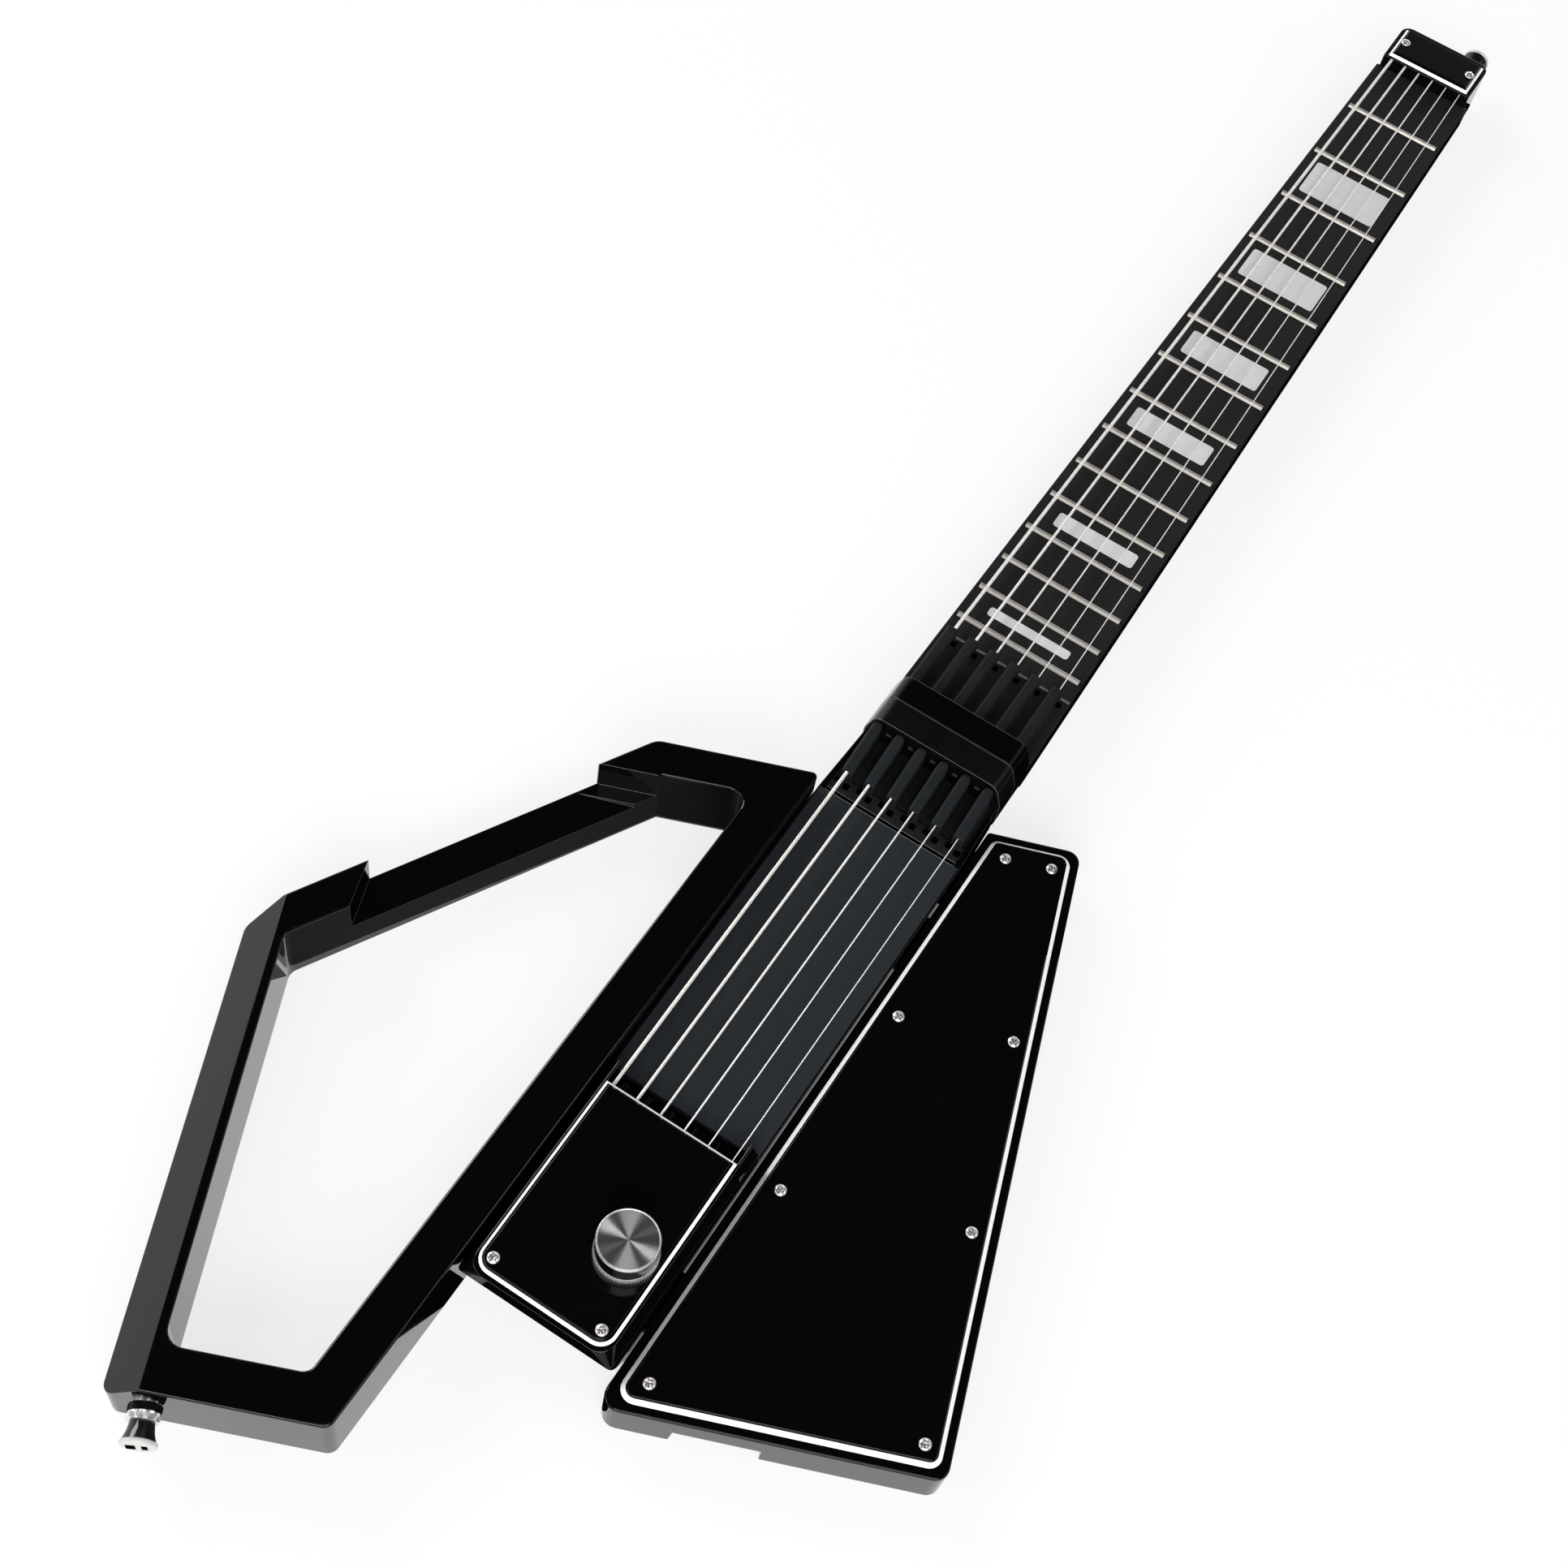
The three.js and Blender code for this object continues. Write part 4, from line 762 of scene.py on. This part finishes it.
def screw_mesh(centre, top_z, radius):
    """A domed head with a cross recess, on its shank."""
    mesh = bmesh.new()
    rim_z = top_z - SCREW_DOME
    middle = mesh.verts.new((centre.x, centre.y, top_z - CROSS_DEPTH))
    rings = []
    for ring in range(1, SCREW_RINGS + 1):
        slope = math.pi / 2 * ring / SCREW_RINGS
        height = rim_z + SCREW_DOME * math.cos(slope)
        rings.append(screw_ring(mesh, centre, radius * math.sin(slope), height, crossed=True))
    for height in (rim_z, rim_z - SCREW_SHANK_LENGTH):
        rings.append(screw_ring(mesh, centre, SCREW_SHANK, height, crossed=False))
    for spoke in range(SCREW_SPOKES):
        following = (spoke + 1) % SCREW_SPOKES
        mesh.faces.new((middle, rings[0][spoke], rings[0][following]))
        for inner, outer in zip(rings, rings[1:]):
            mesh.faces.new((inner[spoke], outer[spoke], outer[following], inner[following]))
    mesh.faces.new(list(reversed(rings[-1])))
    return mesh


def body_of(node):
    """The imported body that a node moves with."""
    bodies = record["behaviour"]["bodies"]
    return next(body for body, nodes in bodies.items() if node in nodes)


def add_screws():
    """Each head is turned by its own angle, as screws are driven."""
    for node in frame["nodes"]:
        if "_screw_" not in node:
            continue
        low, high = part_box(node)
        centre = Vector(((low.x + high.x) / 2, (low.y + high.y) / 2, 0))
        mesh = screw_mesh(centre, high.z, (high.x - low.x) / 2)
        angle = len(node) * TURN_BY_NAME_LENGTH + ord(node[-1]) * TURN_BY_LAST_LETTER
        turn = Matrix.Rotation(math.radians(angle), 4, "Z")
        move(mesh, Matrix.Translation(centre) @ turn @ Matrix.Translation(-centre))
        smooth(add_piece(f"{node}_head", mesh, "screw_chrome", body_of(node), (node,)))


# Turned pieces: the knob and the strap buttons

def turned(profile, spokes, lobes, lobe):
    """A closed body turned about the upright axis, with ridges on its rim if it has lobes."""
    mesh = bmesh.new()
    widest = max(radius for radius, height in profile)
    rings = []
    for radius, height in profile:
        if radius == 0:
            rings.append([mesh.verts.new((0, 0, height * MM))])
            continue
        ring = []
        for spoke in range(spokes):
            angle = 2 * math.pi * spoke / spokes
            on_rim = lobes and radius > widest * RIM_SHARE
            ridge = lobe * (0.5 + 0.5 * math.cos(lobes * angle)) if on_rim else 0
            reach = radius * MM - ridge
            ring.append(mesh.verts.new((reach * math.cos(angle), reach * math.sin(angle), height * MM)))
        rings.append(ring)
    for lower, upper in zip(rings, rings[1:]):
        for spoke in range(spokes):
            following = (spoke + 1) % spokes
            if len(lower) == 1:
                mesh.faces.new((lower[0], upper[following], upper[spoke]))
            elif len(upper) == 1:
                mesh.faces.new((lower[spoke], lower[following], upper[0]))
            else:
                mesh.faces.new((lower[spoke], lower[following], upper[following], upper[spoke]))
    return mesh


def add_turned(name, profile, spokes, ridges, place, material, body, nodes=()):
    mesh = move(turned(profile, spokes, *ridges), place)
    smooth(add_piece(name, mesh, material, body, nodes))


def add_knob():
    centre = knob_centre()
    foot_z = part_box("knob")[0].z
    place = Matrix.Translation((centre.x, centre.y, foot_z))
    for name, profile, spokes, ridges, material, nodes in (
        ("knob_foot", KNOB_FOOT, KNOB_FOOT_SPOKES, KNOB_TEETH, "knob_ring", ("knob",)),
        # the side's dark colour is painted shade
        ("knob_side", KNOB_SIDE, KNOB_SPOKES, NO_RIDGES, "knob_aluminium", ()),
        ("knob_rim", KNOB_RIM, KNOB_SPOKES, NO_RIDGES, "knob_ring", ()),
        ("knob_top", KNOB_FACE, KNOB_SPOKES, NO_RIDGES, "knob_face", ()),
    ):
        add_turned(name, profile, spokes, ridges, place, material, "knob", nodes)


def add_button_slots(node, place, body):
    """The two slots in the end of a strap button, as black patches of painted shade."""
    for number, (low, high) in enumerate(BUTTON_SLOTS, 1):
        low_z, high_z = BUTTON_LENGTH - SLOT_DEPTH, BUTTON_LENGTH + SLOT_PROUD
        slot = box_mesh(in_metres(low), in_metres(high), low_z, high_z, SLOT_CORNER)
        add_piece(f"{node}_slot_{number}", move(slot, place), "hollow_black", body)


def add_strap_button(node, mount_name):
    body = body_of(node)
    mount = next(mount for mount in record["mounts"] if mount["name"] == mount_name)
    axis = Vector(mount["axis"]).normalized()
    foot = Vector(mount["pos_m"]) - axis * BUTTON_LENGTH
    place = Matrix.Translation(foot) @ axis.to_track_quat("Z", "X").to_matrix().to_4x4()
    for part, profile, ridges, material, slot, nodes in (
        ("foot", BUTTON_FOOT, BUTTON_LOBES, "button_chrome", "screw_chrome", ()),
        ("washer", BUTTON_WASHER, WASHER_LOBES, "black_rubber_and_shade", "rubber_grey", (node,)),
        ("ring", BUTTON_RING, BUTTON_LOBES, "button_chrome", "screw_chrome", ()),
        # the chrome stem, drawn black as a painted dark reflection
        ("stem", BUTTON_STEM, NO_RIDGES, "button_dark_reflection", "screw_chrome", ()),
        ("cap", BUTTON_CAP, NO_RIDGES, "button_cap", "screw_chrome", ()),
    ):
        add_turned(f"{node}_{part}", profile, BUTTON_SPOKES, ridges, place, material, body, nodes)
    add_button_slots(node, place, body)


# Damper of the body: slab, finger pads, notches, clips, back wall and seam; the notches, back wall and seam
# are painted shade, and the seam's edges are painted highlights

def add_rubber(name, mesh, material="rubber_grey", nodes=()):
    return add_piece(name, mesh, material, "body", nodes)


def pad_section(half, low_z, top_z):
    """Flat sides, a rounded top."""
    radius = half * PAD_ROUND_SHARE
    points = [(-half, low_z)]
    for step in range(PAD_ARC_STEPS + 1):
        angle = math.pi - math.pi / 2 * step / PAD_ARC_STEPS
        points.append((-half + radius + radius * math.cos(angle), top_z - radius + radius * math.sin(angle)))
    for step in range(PAD_ARC_STEPS + 1):
        angle = math.pi / 2 - math.pi / 2 * step / PAD_ARC_STEPS
        points.append((half - radius + radius * math.cos(angle), top_z - radius + radius * math.sin(angle)))
    points.append((half, low_z))
    return points


def pad_mesh(x, start_y, slab_z):
    mesh = bmesh.new()
    rows = []
    for distance, share, rise in PAD_STATIONS:
        y = start_y + distance * MM
        section = pad_section(PAD_HALF * share, slab_z - PAD_SINK, slab_z + rise * MM)
        rows.append([mesh.verts.new((x + across, y, height)) for across, height in section])
    mesh.faces.new(rows[0])
    mesh.faces.new(list(reversed(rows[-1])))
    count = len(rows[0])
    for lower, upper in zip(rows, rows[1:]):
        for index in range(count):
            following = (index + 1) % count
            mesh.faces.new((lower[following], lower[index], upper[index], upper[following]))
    bmesh.ops.recalc_face_normals(mesh, faces=mesh.faces)
    return mesh


def string_places():
    """Across place of each body string, and where the strings start."""
    boxes = [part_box(f"body_string_{number}") for number in range(1, STRING_COUNT + 1)]
    return [(low.x + high.x) / 2 for low, high in boxes], max(high.y for low, high in boxes)


def add_slab(low, high, slab_z):
    """The damper's base, a step lower behind the pads' lower ends."""
    step_y = low.y + STEP_PLACE
    ledge = box_mesh(low.xy, (high.x, step_y), low.z, slab_z, MARK_PROUD)
    add_rubber("body_damper_ledge", ledge, nodes=("body_damper",))
    floor = box_mesh((low.x, step_y), high.xy, low.z, slab_z - SLAB_STEP, MARK_PROUD)
    add_rubber("body_damper_floor", floor)


def add_clip(number, middle, back_y, slab_z):
    """A small grey catch between two pads, on the black wall of painted shade behind them."""
    clip = box_mesh((middle - CLIP_HALF, back_y - CLIP_REACH), (middle + CLIP_HALF, back_y - SHADE_WALL / 2),
                    slab_z + CLIP_LOW, slab_z + CLIP_HIGH)
    add_rubber(f"body_clip_{number}", clip, "clip_grey")


def add_pads(back_y, slab_z):
    places, start_y = string_places()
    for number, x in enumerate(places, 1):
        smooth(add_rubber(f"body_pad_{number}", pad_mesh(x, start_y, slab_z - SLAB_STEP)))
        for side, (near, far) in NOTCHES.items():
            low = in_metres(near, (x, start_y))
            high = in_metres(far, (x, start_y))
            # A black patch: painted shade in the notch
            notch = box_mesh(low, high, slab_z - MARK_DEPTH, slab_z + MARK_PROUD, NOTCH_CORNER)
            add_rubber(f"body_notch_{side}_{number}", notch, "hollow_black")
        if number < STRING_COUNT:
            add_clip(number, (x + places[number]) / 2, back_y, slab_z)


def add_shade_wall(low_z, back_y, slab_z):
    # A thin black wall behind the pads: painted shade under the collar's end
    start = (-SHADE_WALL_HALF, back_y - SHADE_WALL)
    wall = box_mesh(start, (SHADE_WALL_HALF, back_y), low_z, slab_z + SHADE_WALL_RISE)
    add_rubber("body_damper_back_shade", wall, "black_rubber_and_shade")


def add_seam(low, high, slab_z, deck_z):
    """The gap between deck and damper as a black strip of painted shade, with a strip of painted highlight on
    each side.
    """
    end_y = low.y + SEAM_WIDTH
    seam = box_mesh(low.xy, (high.x, end_y), slab_z - MARK_DEPTH, slab_z + MARK_PROUD, MARK_PROUD)
    add_rubber("body_seam", seam, "hollow_black")
    for name, start_y, top_z in (
        ("body_seam_highlight", end_y, slab_z),
        ("deck_seam_highlight", low.y - SEAM_HIGHLIGHT_WIDTH, deck_z),
    ):
        edge_high = (high.x, start_y + SEAM_HIGHLIGHT_WIDTH)
        edge = box_mesh((low.x, start_y), edge_high, top_z - MARK_DEPTH, top_z + MARK_PROUD)
        add_rubber(name, edge, "rubber_painted_highlight")


def add_body_damper():
    low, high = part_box("body_damper")
    deck_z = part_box("strum_deck")[1].z
    slab_z = deck_z - SLAB_STEP
    add_slab(low, high, slab_z)
    add_pads(high.y, slab_z)
    add_shade_wall(low.z, high.y, slab_z)
    add_seam(low, high, slab_z, deck_z)


# Marks on the neck's damper: a lip and a notch at each rib, the lip a painted highlight and the notch painted
# shade

def add_neck_marks():
    board_low, board_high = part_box("fretboard")
    top_z = board_high.z
    for number in range(STRING_COUNT):
        start = (FIRST_RIB_EDGE + number * RIB_SPACING, board_low.y)
        for name, (near, far), rise, material in (
            ("neck_lip_highlight", LIP_PLACE, LIP_RISE, "rubber_painted_highlight"),
            ("neck_notch", RIB_NOTCH, MARK_PROUD, "hollow_black"),
        ):
            low = in_metres(near, start)
            high = in_metres(far, start)
            mark = box_mesh(low, high, top_z - MARK_DEPTH, top_z + rise, MARK_PROUD)
            add_piece(f"{name}_{number + 1}", mark, material, "neck")


set_camera()
set_floor()
set_world()
for lamp_name, lamp in LAMPS.items():
    add_lamp(lamp_name, **lamp)
for card_name, (card_shade, card_corners) in SHADE_CARDS.items():
    add_shade_card(card_name, card_shade, card_corners)
paint_nodes()
add_inlays()
add_screws()
add_knob()
add_strap_button("head_strap_button", "head_strap_end")
add_strap_button("wing_strap_button", "wing_strap_end")
add_body_damper()
add_neck_marks()
